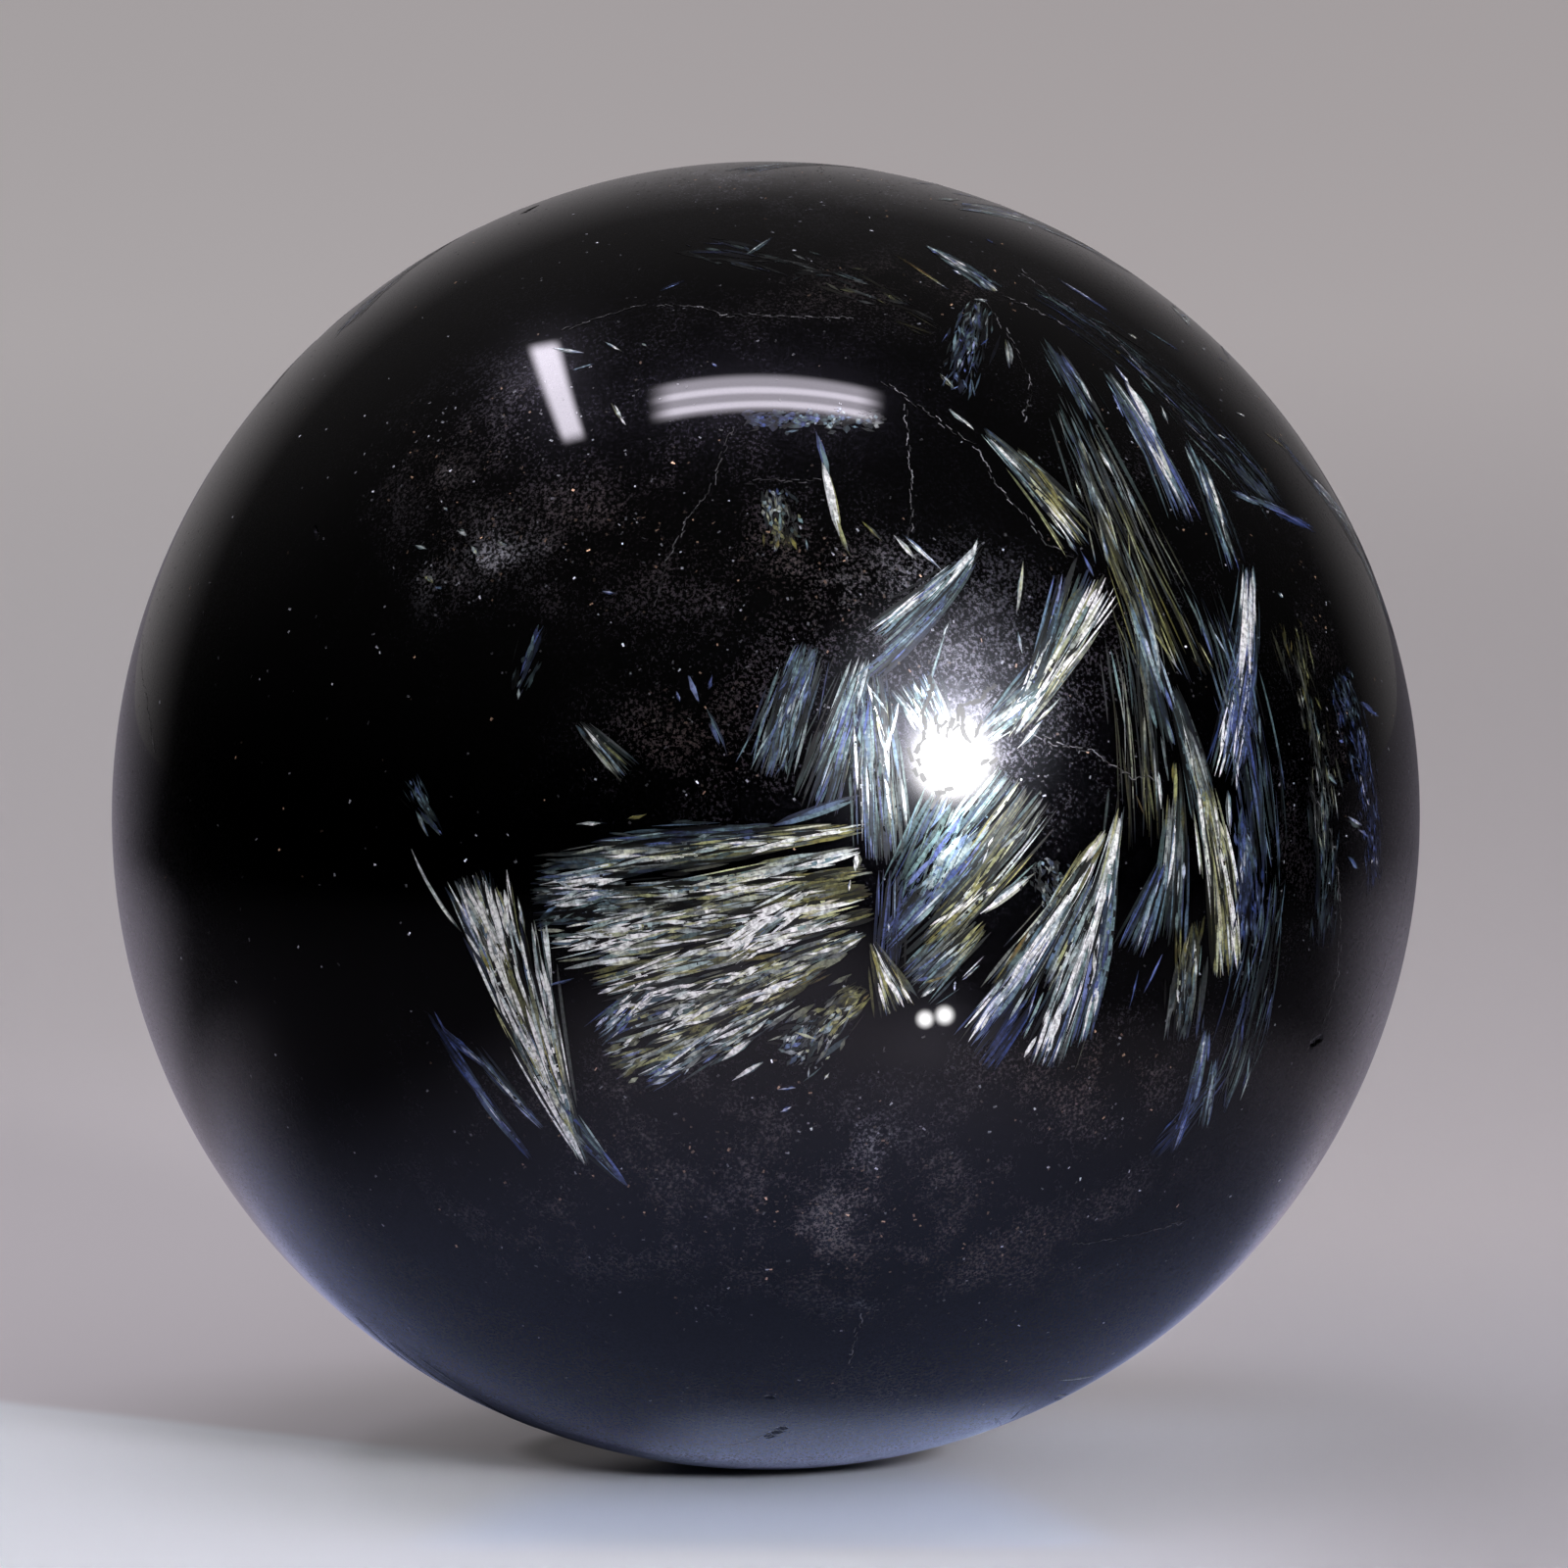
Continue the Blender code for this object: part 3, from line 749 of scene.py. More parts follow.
def turned(direction, towards, angle):
    """A direction moved over the ball by an angle, towards a direction square to it."""
    return direction * math.cos(angle) + towards * math.sin(angle)


def random_direction(chance):
    """Any direction from the centre, all equally likely."""
    height = chance.uniform(-1.0, 1.0)
    around = chance.uniform(0.0, math.tau)
    wide = math.sqrt(1 - height * height)
    return Vector((wide * math.cos(around), wide * math.sin(around), height))


def scattered_lies():
    """Clusters of fans and blades, like the front's, over the rest of the ball."""
    chance = random.Random(SEED)
    lies = []
    while len(lies) < CLUSTERS * CLUSTER_SPRAYS:
        middle = random_direction(chance)
        if middle.dot(TO_CAMERA) > FRONT_KEPT_FREE:
            continue
        side = middle.orthogonal().normalized()
        heading = Quaternion(middle, chance.uniform(0.0, math.tau)) @ side
        strength = chance.uniform(*CLUSTER_STRENGTH)
        hue = chance.choice((STEEL, TEAL, LEMON, OLIVE))
        for number in range(CLUSTER_SPRAYS):
            swung = Quaternion(middle, chance.gauss(0.0, FANNED_OUT)) @ heading
            beside = middle.cross(swung)
            start = turned(middle, beside, chance.gauss(0.0, MOVED_ASIDE))
            start = turned(start, swung, chance.uniform(*MOVED_ALONG)).normalized()
            ahead = (swung - start * swung.dot(start)).normalized()
            if number < CLUSTER_FANS:
                long = chance.uniform(*FAN_LENGTHS)
                spray = Spray(
                    "scattered fan",
                    None,
                    None,
                    (chance.uniform(*FAN_ROOTS), chance.uniform(*FAN_TIPS)),
                    strength * chance.uniform(*FAN_LIGHTS),
                    (hue, chance.choice((STEEL, TEAL, WHITE, LEMON))),
                    chance.uniform(*FAN_CHOPS),
                    (chance.uniform(*FAN_GRAIN_LONG), chance.uniform(*FAN_GRAIN_THICK)),
                )
            else:
                long = chance.uniform(*BLADE_LENGTHS)
                spray = blade(
                    "scattered blade",
                    None,
                    None,
                    chance.uniform(*BLADE_WIDTHS),
                    strength * chance.uniform(*BLADE_LIGHTS),
                    chance.choice((VIOLET, STEEL, TEAL, WHITE, WHITE, LEMON)),
                )
            tip = turned(start, ahead, long / RADIUS).normalized()
            if max(start.dot(TO_CAMERA), tip.dot(TO_CAMERA)) > FRONT_KEPT_FREE:
                continue
            lies.append(Lie(start, tip, spray, PIXEL))
    return lies


def smooth_step(values):
    """Values from 0 to 1 with soft ends, for an array."""
    held = np.clip(values, 0.0, 1.0)
    return held * held * (3 - 2 * held)


def hue_colours(hues):
    """The needles' colours at places on the scale of hues."""
    stops = [place for place, colour in NEEDLE_COLOURS]
    channels = zip(*(colour for place, colour in NEEDLE_COLOURS))
    return np.stack([np.interp(hues, stops, channel) for channel in channels], axis=-1)


class Slivers:
    """Thin flat slivers laid flush on the ball, gathered for one mesh."""

    def __init__(self):
        self.corners = []
        self.tints = []
        self.coats = []
        self.faces = []
        self.total = 0

    def lay(self, lanes, halves, tints, levels, coat=1.0):
        """Adds slivers with one number of stations.

        lanes holds the directions of each sliver's stations and halves half its width there, in
        metres. tints holds the colour and the metal there, and levels which lies over which.
        """
        count, stations = halves.shape
        ahead = np.gradient(lanes, axis=1)
        side = np.cross(lanes, ahead)
        side /= np.linalg.norm(side, axis=-1, keepdims=True)
        reach = (halves / RADIUS)[..., None] * side
        rims = np.stack((lanes + reach, lanes - reach), axis=2)
        rims /= np.linalg.norm(rims, axis=-1, keepdims=True)
        heights = RADIUS - INLAY + LOWEST_SLIVER + (INLAY - LOWEST_SLIVER) * levels
        corners = rims * heights[:, None, None, None]
        clear = corners[..., 2].min(axis=(1, 2)) + CENTRE.z > FLOOR_HEIGHT + FOOT_ROOM
        corners, tints, count = corners[clear], tints[clear], int(clear.sum())
        first = self.total + 2 * (stations * np.arange(count)[:, None] + np.arange(stations - 1))
        faces = np.stack((first + 1, first + 3, first + 2, first), axis=-1)
        self.corners.append(corners.reshape(-1, 3))
        self.tints.append(np.repeat(tints, 2, axis=1).reshape(-1, 4))
        self.faces.append(faces.reshape(-1, 4))
        self.coats.append(np.full(2 * stations * count, coat))
        self.total += 2 * stations * count

    def piece(self, name, material):
        """Makes the gathered slivers one mesh, which shines as the ball does."""
        corners = np.concatenate(self.corners)
        faces = np.concatenate(self.faces)
        mesh = bpy.data.meshes.new(name)
        mesh.from_pydata((corners + np.array(CENTRE)).tolist(), [], faces.tolist())
        outward = corners / np.linalg.norm(corners, axis=1)[:, None]
        mesh.normals_split_custom_set_from_vertices(outward.tolist())
        kept = mesh.attributes.new("tint", "FLOAT_COLOR", "POINT")
        kept.data.foreach_set("color", np.concatenate(self.tints).astype(np.float32).ravel())
        kept = mesh.attributes.new("coat", "FLOAT", "POINT")
        kept.data.foreach_set("value", np.concatenate(self.coats).astype(np.float32))
        mesh.materials.append(material)
        made = bpy.data.objects.new(name, mesh)
        bpy.context.collection.objects.link(made)
        return made


def profile(stations):
    """A needle's outline: narrow at both ends and full between."""
    places = np.linspace(0.0, 1.0, stations)
    return NARROW_END + (1 - NARROW_END) * np.sqrt(4 * places * (1 - places))


def clumped(parts, across, lie, offset):
    """How light a spray is at places in it: bright tufts with dark gaps between them."""
    long = parts * lie.length / (lie.grain[0] * TUFT_LONG)
    wide = across * sum(lie.widths) / 4 / (lie.grain[1] * TUFT_WIDE)
    rows = [noise.noise((x + offset, y - offset, offset)) for x, y in zip(long, wide)]
    return smooth_step(0.5 + TUFT_CONTRAST * np.array(rows))


def lay_pass(slivers, lie, way, light, chance):
    """Lays one pass of needles over a spray. Its light is that of the whole stone's needles."""
    solid = lie.solid > 0.5
    grain_long = lie.length if solid else lie.grain[0] * (SILKY_LENGTH - CHOPPED_SHORTER * lie.chop)
    grain_thick = sum(lie.widths) / 4 if solid else lie.grain[1]
    mean_long = min(grain_long * way.long, lie.length * LONGEST_SHARE)
    mean_thick = grain_thick * way.thick
    area = lie.length * sum(lie.widths) / 2 * (BLADE_FILLS if solid else 1.0)
    thinness = min(lie.light / FULLY_COVERED, 1.0)
    count = max(int(way.cover * thinness * area / (mean_long * mean_thick)), 2)

    long = np.minimum(mean_long * chance.uniform(SIZES_FROM, SIZES_TO, count), lie.length) / lie.length
    start = chance.uniform(-PAST_ROOT, 1.0, count) * (1.0 + PAST_ROOT - long)
    across = np.clip(chance.normal(0.0, way.spread, count), -FARTHEST_ASIDE, FARTHEST_ASIDE)
    middle = start + long / 2
    spans = math.ceil(mean_long * LONGER_ONES / LONGEST_SPAN)
    stations = int(np.clip(spans + 1, FEWEST_STATIONS, MOST_STATIONS))
    runs = np.linspace(0.0, 1.0, stations)
    parts = start[:, None] + long[:, None] * runs
    lean = chance.normal(0.0, LEAN + CHOPPED_LEAN * lie.chop, count)[:, None] * (runs - 0.5)
    lanes = lie.places(parts, across[:, None] + lean)
    thick = mean_thick * chance.uniform(SIZES_FROM, SIZES_TO, count)
    halves = thick[:, None] / 2 * profile(stations)

    tufts = 1.0
    if not solid:
        tufts = clumped(middle, across, lie, chance.uniform(0.0, 90.0)) * TUFT_LIGHT + GAP_LIGHT
    low, high = way.lights
    lights = (low + (high - low) * chance.uniform(0.0, 1.0, count) ** DIM_MOSTLY) * tufts * lie.light
    root_end = smooth_step(middle / lie.fades[0] + END_LIGHT)
    tip_end = smooth_step((1 - middle) / lie.fades[1] + END_LIGHT)
    lights = lights * light * (1.0 if solid else root_end * tip_end) / max(thinness, THINNEST)

    hues = lie.hues[0] + (lie.hues[1] - lie.hues[0]) * np.clip(middle, 0.0, 1.0)
    cooler = np.where(chance.uniform(0.0, 1.0, count) < COOLER_SHARE, -COOLER_BY, 0.0)
    hues = hues + chance.normal(0.0, HUE_WANDER, count) + cooler
    tail = np.where(chance.uniform(0.0, 1.0, count) < VIOLET_SHARE, VIOLET - hues, 0.0)
    along_hues = hues[:, None] + tail[:, None] * smooth_step(runs * VIOLET_RISE - VIOLET_LATE)
    colours = hue_colours(np.clip(along_hues, 0.0, 1.0))
    paleness = smooth_step((lights - WHITE_FROM) / WHITE_OVER)[:, None, None]
    colours = colours + (1.0 - colours) * paleness
    taper = DIM_ENDS + (1 - DIM_ENDS) * np.sqrt(4 * runs * (1 - runs))
    colours = np.clip(colours * lights[:, None, None] * taper[:, None], 0.0, BRIGHTEST)
    metal = np.full((count, stations, 1), lie.metal)
    levels = chance.uniform(*way.levels, count)
    slivers.lay(lanes, halves, np.concatenate((colours, metal), axis=2), levels)


def lay_sprays(slivers, light):
    """Fills every spray with its needles."""
    chance = np.random.default_rng(SEED + 1)
    for lie in front_lies() + scattered_lies():
        for way in BLADE_PASSES if lie.solid > 0.5 else FAN_PASSES:
            lay_pass(slivers, lie, way, light, chance)


def crack_routes():
    """Every crack as directions from the centre, with its light."""
    chance = random.Random(SEED + 2)
    routes = [([on_ball(pixel) for pixel in crack.route], crack.light) for crack in FRONT_CRACKS]
    while len(routes) < len(FRONT_CRACKS) + SCATTERED_CRACKS:
        here = random_direction(chance)
        if here.dot(TO_CAMERA) > FRONT_KEPT_FREE:
            continue
        heading = Quaternion(here, chance.uniform(0.0, math.tau)) @ here.orthogonal().normalized()
        route = [here]
        for leg in range(chance.randint(*CRACK_LEGS)):
            heading = Quaternion(here, chance.gauss(0.0, CRACK_TURN)) @ heading
            here = turned(here, heading, chance.uniform(*CRACK_LEG_ANGLES)).normalized()
            heading = (heading - here * heading.dot(here)).normalized()
            route.append(here)
        routes.append((route, chance.uniform(*CRACK_LIGHTS)))
    return routes


def lay_cracks(slivers, look):
    """Lays every crack as a chain of short thin slivers that wander a little."""
    chance = np.random.default_rng(SEED + 4)
    for route, light in crack_routes():
        for first, last in zip(route, route[1:]):
            start, end = np.array(first), np.array(last)
            length = np.linalg.norm(end - start) * RADIUS
            count = max(int(length / CRACK_STEP), 1)
            ahead = (end - start) / np.linalg.norm(end - start)
            side = np.cross(start, ahead)
            begun = np.arange(count) / count
            runs = np.linspace(0.0, CRACK_OVERLAP / count, 3)
            parts = (begun[:, None] + runs)[..., None]
            step = chance.normal(0.0, CRACK_WANDER, (count, 1, 1))
            aside = (step + chance.normal(0.0, CRACK_WANDER / 2, (count, 3, 1))) / RADIUS
            lanes = start + (end - start) * parts + side * aside
            lanes /= np.linalg.norm(lanes, axis=-1, keepdims=True)
            halves = look.crack_width * chance.uniform(*CRACK_HALVES, (count, 3))
            halves *= HAIRLINE_SHARE if light else OPEN_SHARE
            lights = light * chance.uniform(0.0, CRACK_BRIGHTEST, count) ** 1.5
            colours = lights[:, None, None] * np.array(look.crack_colour) + np.zeros((count, 3, 1))
            tints = np.concatenate((colours, np.zeros((count, 3, 1))), axis=2)
            slivers.lay(lanes, halves, tints, np.full(count, 1.0), 1.0 if light else 0.0)


def lay_grains(slivers, look):
    """Lays the tiny bright grains, thick where the ground is grainy and thin elsewhere."""
    chance = np.random.default_rng(SEED + 5)
    number = look.grain_count
    height = chance.uniform(-1.0, 1.0, number)
    around = chance.uniform(0.0, math.tau, number)
    wide = np.sqrt(1 - height * height)
    middles = np.stack((wide * np.cos(around), wide * np.sin(around), height), axis=1)
    grains, warmth, smoke = ground_at(middles).T
    share = KEPT_PLAIN + KEPT_GRAINY * np.minimum(grains, 1.0) + KEPT_SMOKY * smoke
    kept = chance.uniform(0.0, 1.0, number) < share
    middles, warmth = middles[kept], warmth[kept]
    count = len(middles)
    heading = chance.normal(0.0, 1.0, (count, 3))
    heading -= middles * (heading * middles).sum(axis=1)[:, None]
    heading /= np.linalg.norm(heading, axis=1)[:, None]
    half_long = PIXEL * chance.uniform(*GRAIN_LENGTHS, count)[:, None] / RADIUS / 2
    lanes = np.stack((middles - heading * half_long, middles + heading * half_long), axis=1)
    lanes /= np.linalg.norm(lanes, axis=-1, keepdims=True)
    halves = PIXEL * chance.uniform(*GRAIN_HALVES, (count, 2))
    lights = DULL_GRAIN + DULL_RANGE * chance.uniform(0.0, 1.0, count) ** 4
    bright = chance.uniform(0.0, 1.0, count) > 1.0 - BRIGHT_SHARE
    lights += BRIGHT_GRAIN * bright * chance.uniform(0.3, 1.0, count)
    warm = (chance.uniform(0.0, 1.0, count) < WARM_SHARE + WARMER_SHARE * warmth)[:, None]
    colours = np.where(warm, np.array(look.warm_grain), np.array(look.cool_grain)) * lights[:, None]
    tints = np.concatenate((colours, np.zeros((count, 1))), axis=1)[:, None, :].repeat(2, axis=1)
    slivers.lay(lanes, halves, tints, chance.uniform(0.0, 0.2, count))


def ground_at(points):
    """How grainy, warm and smoky the stone is in each of many directions."""
    rows = np.zeros((len(points), 3))
    rows[:, 0] = GRAINY_EVERYWHERE
    chance = random.Random(SEED + 3)
    patches = [
        (on_ball(patch.middle), [side * PIXEL for side in patch.reach], patch[3:]) for patch in FRONT_GROUND
    ]
    while len(patches) < len(FRONT_GROUND) + SCATTERED_PATCHES:
        here = random_direction(chance)
        if here.dot(TO_CAMERA) < FRONT_KEPT_FREE:
            size = chance.uniform(*PATCH_REACHES)
            grain, warmth = chance.uniform(*PATCH_GRAINS), chance.uniform(*PATCH_WARMTHS)
            amounts = (grain, warmth, chance.choice(PATCH_SMOKES))
            patches.append((here, [size, size * chance.uniform(*PATCH_NARROWER)], amounts))
    for middle, reach, amounts in patches:
        right = UP.cross(middle).normalized()
        up = middle.cross(right)
        sideways = points @ np.array(right) * RADIUS / reach[0]
        upwards = points @ np.array(up) * RADIUS / reach[1]
        facing = points @ np.array(middle) > 0.5
        strength = np.exp(-(sideways**2 + upwards**2)) * facing
        rows += strength[:, None] * np.array(amounts)
    return np.clip(rows, 0.0, MOST_GROUND)


def keep_ground(ball):
    """Keeps the ground's three measures in the ball's mesh."""
    mesh = ball.data
    corners = np.zeros(len(mesh.vertices) * 3, np.float32)
    mesh.vertices.foreach_get("co", corners)
    points = corners.reshape(-1, 3) - np.array(CENTRE)
    points /= np.linalg.norm(points, axis=1)[:, None]
    kept = mesh.attributes.new("ground", "FLOAT_VECTOR", "POINT")
    kept.data.foreach_set("vector", ground_at(points).astype(np.float32).ravel())


def deselect_all():
    """Leaves nothing selected, in object mode."""
    if bpy.context.object and bpy.context.object.mode != "OBJECT":
        bpy.ops.object.mode_set(mode="OBJECT")
    bpy.ops.object.select_all(action="DESELECT")


def subdivide_where(ball, test, cuts):
    """Divides the faces whose middle passes a test, then puts every corner on the ball."""
    bpy.ops.object.mode_set(mode="EDIT")
    bpy.ops.mesh.select_all(action="DESELECT")
    bpy.ops.mesh.select_mode(type="FACE")
    bpy.ops.object.mode_set(mode="OBJECT")
    for face in ball.data.polygons:
        face.select = test((face.center - CENTRE).normalized())
    bpy.ops.object.mode_set(mode="EDIT")
    bpy.ops.mesh.subdivide(number_cuts=cuts, smoothness=0.0)
    bpy.ops.object.mode_set(mode="OBJECT")
    for corner in ball.data.vertices:
        corner.co = CENTRE + (corner.co - CENTRE).normalized() * (RADIUS - INLAY)


def press_pits(ball):
    """Sinks the small open pits into the surface."""
    for pit in FRONT_PITS:
        root, tip = on_ball(pit.root), on_ball(pit.tip)
        middle = (root + tip).normalized()
        length = RADIUS * root.angle(tip)
        for corner in ball.data.vertices:
            out = (corner.co - CENTRE).normalized()
            if out.dot(middle) < math.cos(PIT_ROOM / RADIUS):
                continue
            ahead = (tip - root).normalized()
            along = (out - middle).dot(ahead) * RADIUS
            across = (out - middle).dot(middle.cross(ahead)) * RADIUS
            past = max(abs(along) - length / 2, 0.0)
            share = math.hypot(past, across) / (pit.width * PIXEL / 2)
            if share < 1.0:
                corner.co -= out * pit.depth * (1 - share * share)


def ball_mesh():
    """The dense ball on its small flat, made from a primitive and shaped in edit mode."""
    deselect_all()
    radius = RADIUS - INLAY
    bpy.ops.mesh.primitive_ico_sphere_add(subdivisions=BALL_DIVISIONS, radius=radius, location=CENTRE)
    ball = bpy.context.object
    ball.name = "stone_ball"
    bpy.ops.object.transform_apply(location=True)
    pits = [(on_ball(pit.root) + on_ball(pit.tip)).normalized() for pit in FRONT_PITS]
    room = math.cos(PIT_ROOM / RADIUS)
    subdivide_where(ball, lambda out: any(out.dot(pit) > room for pit in pits), 2)
    press_pits(ball)
    bpy.ops.object.mode_set(mode="EDIT")
    bpy.ops.mesh.select_all(action="SELECT")
    bpy.ops.mesh.bisect(
        plane_co=(0.0, 0.0, FLOOR_HEIGHT),
        plane_no=(0.0, 0.0, 1.0),
        threshold=CUT_THRESHOLD,
        use_fill=True,
        clear_inner=True,
    )
    bpy.ops.object.mode_set(mode="OBJECT")
    bpy.ops.object.shade_smooth_by_angle(angle=SMOOTH_BELOW, keep_sharp_edges=False)
    return ball


BLACK = (0.0, 0.0, 0.0, 1.0)
WHITE_PAINT = (1.0, 1.0, 1.0, 1.0)

# How fine the stone's mottles and fibres and the needles' wear are, per metre.
MOTTLES = 300.0
FIBRES = 6400.0
WEAR = 5200.0
# Where their soft steps lie, between 0 and 1 of the noise.
PATCHES, FIBRE_THREADS, FIBRE_ROUGHENS = (0.36, 0.64), (0.46, 0.78), (0.3, 0.7)
BROWN_MOTTLES, BROWN_FIBRES, FOGGY, WORN = (0.44, 0.70), (0.40, 0.70), (0.55, 0.78), (0.30, 0.62)
# How much of the fibres shows in the patches and between them, by grain and without any.
IN_PATCHES, BETWEEN_PATCHES = 0.8, 0.2
WITH_GRAIN, WITHOUT_GRAIN = 0.85, 0.15
# How strong the brown is, with an even share, and how much of each noise the smoke has.
BROWN_STRENGTH, BROWN_EVEN = 0.5, 0.15
SMOKE_NOISE = 0.6
COOL_FIBRE = (0.140, 0.132, 0.190, 1.0)
WARM_FIBRE = (0.150, 0.108, 0.100, 1.0)
STONE_ROUGH, FIBRE_ROUGH = 0.22, 0.10
NEEDLE_ROUGH = 0.32
WORN_NEEDLE_BLACK = 0.55
STONE_IOR = 1.5
POLISH_IOR = 1.6


class Value:
    """A number, colour or vector in a material, on which sums can be written."""

    def __init__(self, graph, socket):
        self.graph = graph
        self.socket = socket

    def math(self, operation, *others):
        """A Math node on this value and others."""
        return self.graph.node("ShaderNodeMath", {"operation": operation}, dict(enumerate((self, *others))))

    def __add__(self, other):
        return self.math("ADD", other)

    def __radd__(self, other):
        return self.math("ADD", other)

    def __sub__(self, other):
        return self.math("SUBTRACT", other)

    def __rsub__(self, other):
        return self.graph.node("ShaderNodeMath", {"operation": "SUBTRACT"}, {0: other, 1: self})

    def __mul__(self, other):
        return self.math("MULTIPLY", other)

    def __rmul__(self, other):
        return self.math("MULTIPLY", other)

    def __truediv__(self, other):
        return self.math("DIVIDE", other)

    def __pow__(self, other):
        return self.math("POWER", other)

    def __abs__(self):
        return self.math("ABSOLUTE")

    def least(self, other):
        return self.math("MINIMUM", other)

    def most(self, other):
        return self.math("MAXIMUM", other)

    def between(self, low, high):
        """0 at low, 1 at high and a soft rise between them, also where high is the lower number."""
        settings = {"interpolation_type": "SMOOTHSTEP"}
        ends = {"Value": self, "From Min": low, "From Max": high}
        if not isinstance(low, Value) and not isinstance(high, Value) and high < low:
            ends = {"Value": self, "From Min": high, "From Max": low, "To Min": 1.0, "To Max": 0.0}
        return self.graph.node("ShaderNodeMapRange", settings, ends)

    def parts(self):
        """The three numbers of a vector."""
        self.graph.node("ShaderNodeSeparateXYZ", {}, {0: self})
        outputs = self.graph.newest.outputs
        return [Value(self.graph, outputs[axis]) for axis in range(3)]


class Graph:
    """The node tree of one material or world, with one method that adds any node."""

    def __init__(self, tree):
        self.tree = tree
        self.newest = None

    def node(self, kind, settings, sockets, output=0):
        """Adds a node, sets it up, then gives its sockets their values or links."""
        made = self.tree.nodes.new(kind)
        self.newest = made
        for name, setting in settings.items():
            setattr(made, name, setting)
        for name, given in sockets.items():
            if isinstance(given, Value):
                self.tree.links.new(given.socket, made.inputs[name])
            else:
                made.inputs[name].default_value = given
        return Value(self, made.outputs[output]) if made.outputs else None

    def feed(self, shader, **sockets):
        """Links values to a shader's sockets, which are named with _ for a space."""
        for name, value in sockets.items():
            self.tree.links.new(value.socket, shader.inputs[name.replace("_", " ")])

    def place(self, kind="Object"):
        """The place on the object, or on its UV map."""
        return self.node("ShaderNodeTexCoord", {}, {}, kind)

    def attribute(self, name, output):
        """What the mesh keeps under a name."""
        return self.node("ShaderNodeAttribute", {"attribute_name": name}, {}, output)

    def seen_by_camera(self):
        """1 for the rays that come from the camera, for the stage alone."""
        return self.node("ShaderNodeLightPath", {}, {}, "Is Camera Ray")

    def noise(self, place, scale, detail, rough):
        """Soft noise around one half."""
        sockets = {"Vector": place, "Scale": scale, "Detail": detail, "Roughness": rough}
        return self.node("ShaderNodeTexNoise", {}, sockets)

    def mix(self, factor, first, second):
        """Two colours blended."""
        return self.node("ShaderNodeMix", {"data_type": "RGBA"}, {0: factor, 6: first, 7: second}, 2)


def new_material(name):
    """A new material with its graph and its main shader."""
    material = bpy.data.materials.new(name)
    material.use_nodes = True
    return material, Graph(material.node_tree), material.node_tree.nodes["Principled BSDF"]


def shining_material(name):
    """A new material with an empty graph, for what only shines."""
    material, graph, shader = new_material(name)
    material.node_tree.nodes.clear()
    return material, graph


def stone_material(look):
    """Black stone with faint fibres, brown mottles and smoke, under a clear smooth polish."""
    material, graph, shader = new_material("polished_arfvedsonite")
    place = graph.place()
    grains, warmth, smoke = graph.attribute("ground", "Vector").parts()
    mottle = graph.noise(place, MOTTLES, 4.0, 0.65)
    fibre = graph.noise(place, FIBRES, 3.0, 0.70)
    patchy = mottle.between(*PATCHES) * IN_PATCHES + BETWEEN_PATCHES
    thread = fibre.between(*FIBRE_THREADS) * patchy * (grains * WITH_GRAIN + WITHOUT_GRAIN).least(1.0)
    lighter = graph.mix(warmth.least(1.0), COOL_FIBRE, WARM_FIBRE)
    dark = graph.mix(thread, (*look.stone_colour, 1.0), lighter)
    brown = warmth * mottle.between(*BROWN_MOTTLES) * (fibre.between(*BROWN_FIBRES) + BROWN_EVEN)
    ground = graph.mix((brown * BROWN_STRENGTH).least(1.0), dark, (*look.brown_colour, 1.0))
    both = mottle * SMOKE_NOISE + fibre * SMOKE_NOISE
    fog = (smoke * both.between(*FOGGY)).least(1.0)
    colour = graph.mix(fog, ground, (*look.smoke_colour, 1.0))
    metal = 1.0 - brown.most(fog).least(1.0)
    rough = STONE_ROUGH + fibre.between(*FIBRE_ROUGHENS) * FIBRE_ROUGH
    graph.feed(shader, Base_Color=colour, Metallic=metal, Roughness=rough)
    polished(shader, look)
    return material


def sliver_material(name, look):
    """Needles and grains, each in its own colour, under the ball's polish."""
    material, graph, shader = new_material(name)
    own = graph.attribute("tint", "Color")
    metal = Value(graph, graph.newest.outputs["Alpha"])
    wear = graph.noise(graph.place(), WEAR, 2.0, 0.6).between(*WORN)
    colour = graph.mix(wear, graph.mix(WORN_NEEDLE_BLACK, own, BLACK), own)
    polished(shader, look)
    shader.inputs["Roughness"].default_value = NEEDLE_ROUGH
    graph.feed(shader, Base_Color=colour, Metallic=metal, Coat_Weight=graph.attribute("coat", "Fac"))
    return material


def polished(shader, look):
    """The clear polish that the stone and its needles share."""
    shader.inputs["IOR"].default_value = STONE_IOR
    shader.inputs["Coat Weight"].default_value = 1.0
    shader.inputs["Coat Roughness"].default_value = look.polish
    shader.inputs["Coat IOR"].default_value = POLISH_IOR


def amount(name, description, default, **more):
    """A number that a user may change."""
    return bpy.props.FloatProperty(name=name, description=description, default=default, min=0.0, **more)


def colour(name, description, default):
    """A colour that a user may change."""
    return bpy.props.FloatVectorProperty(
        name=name, description=description, subtype="COLOR", default=default
    )


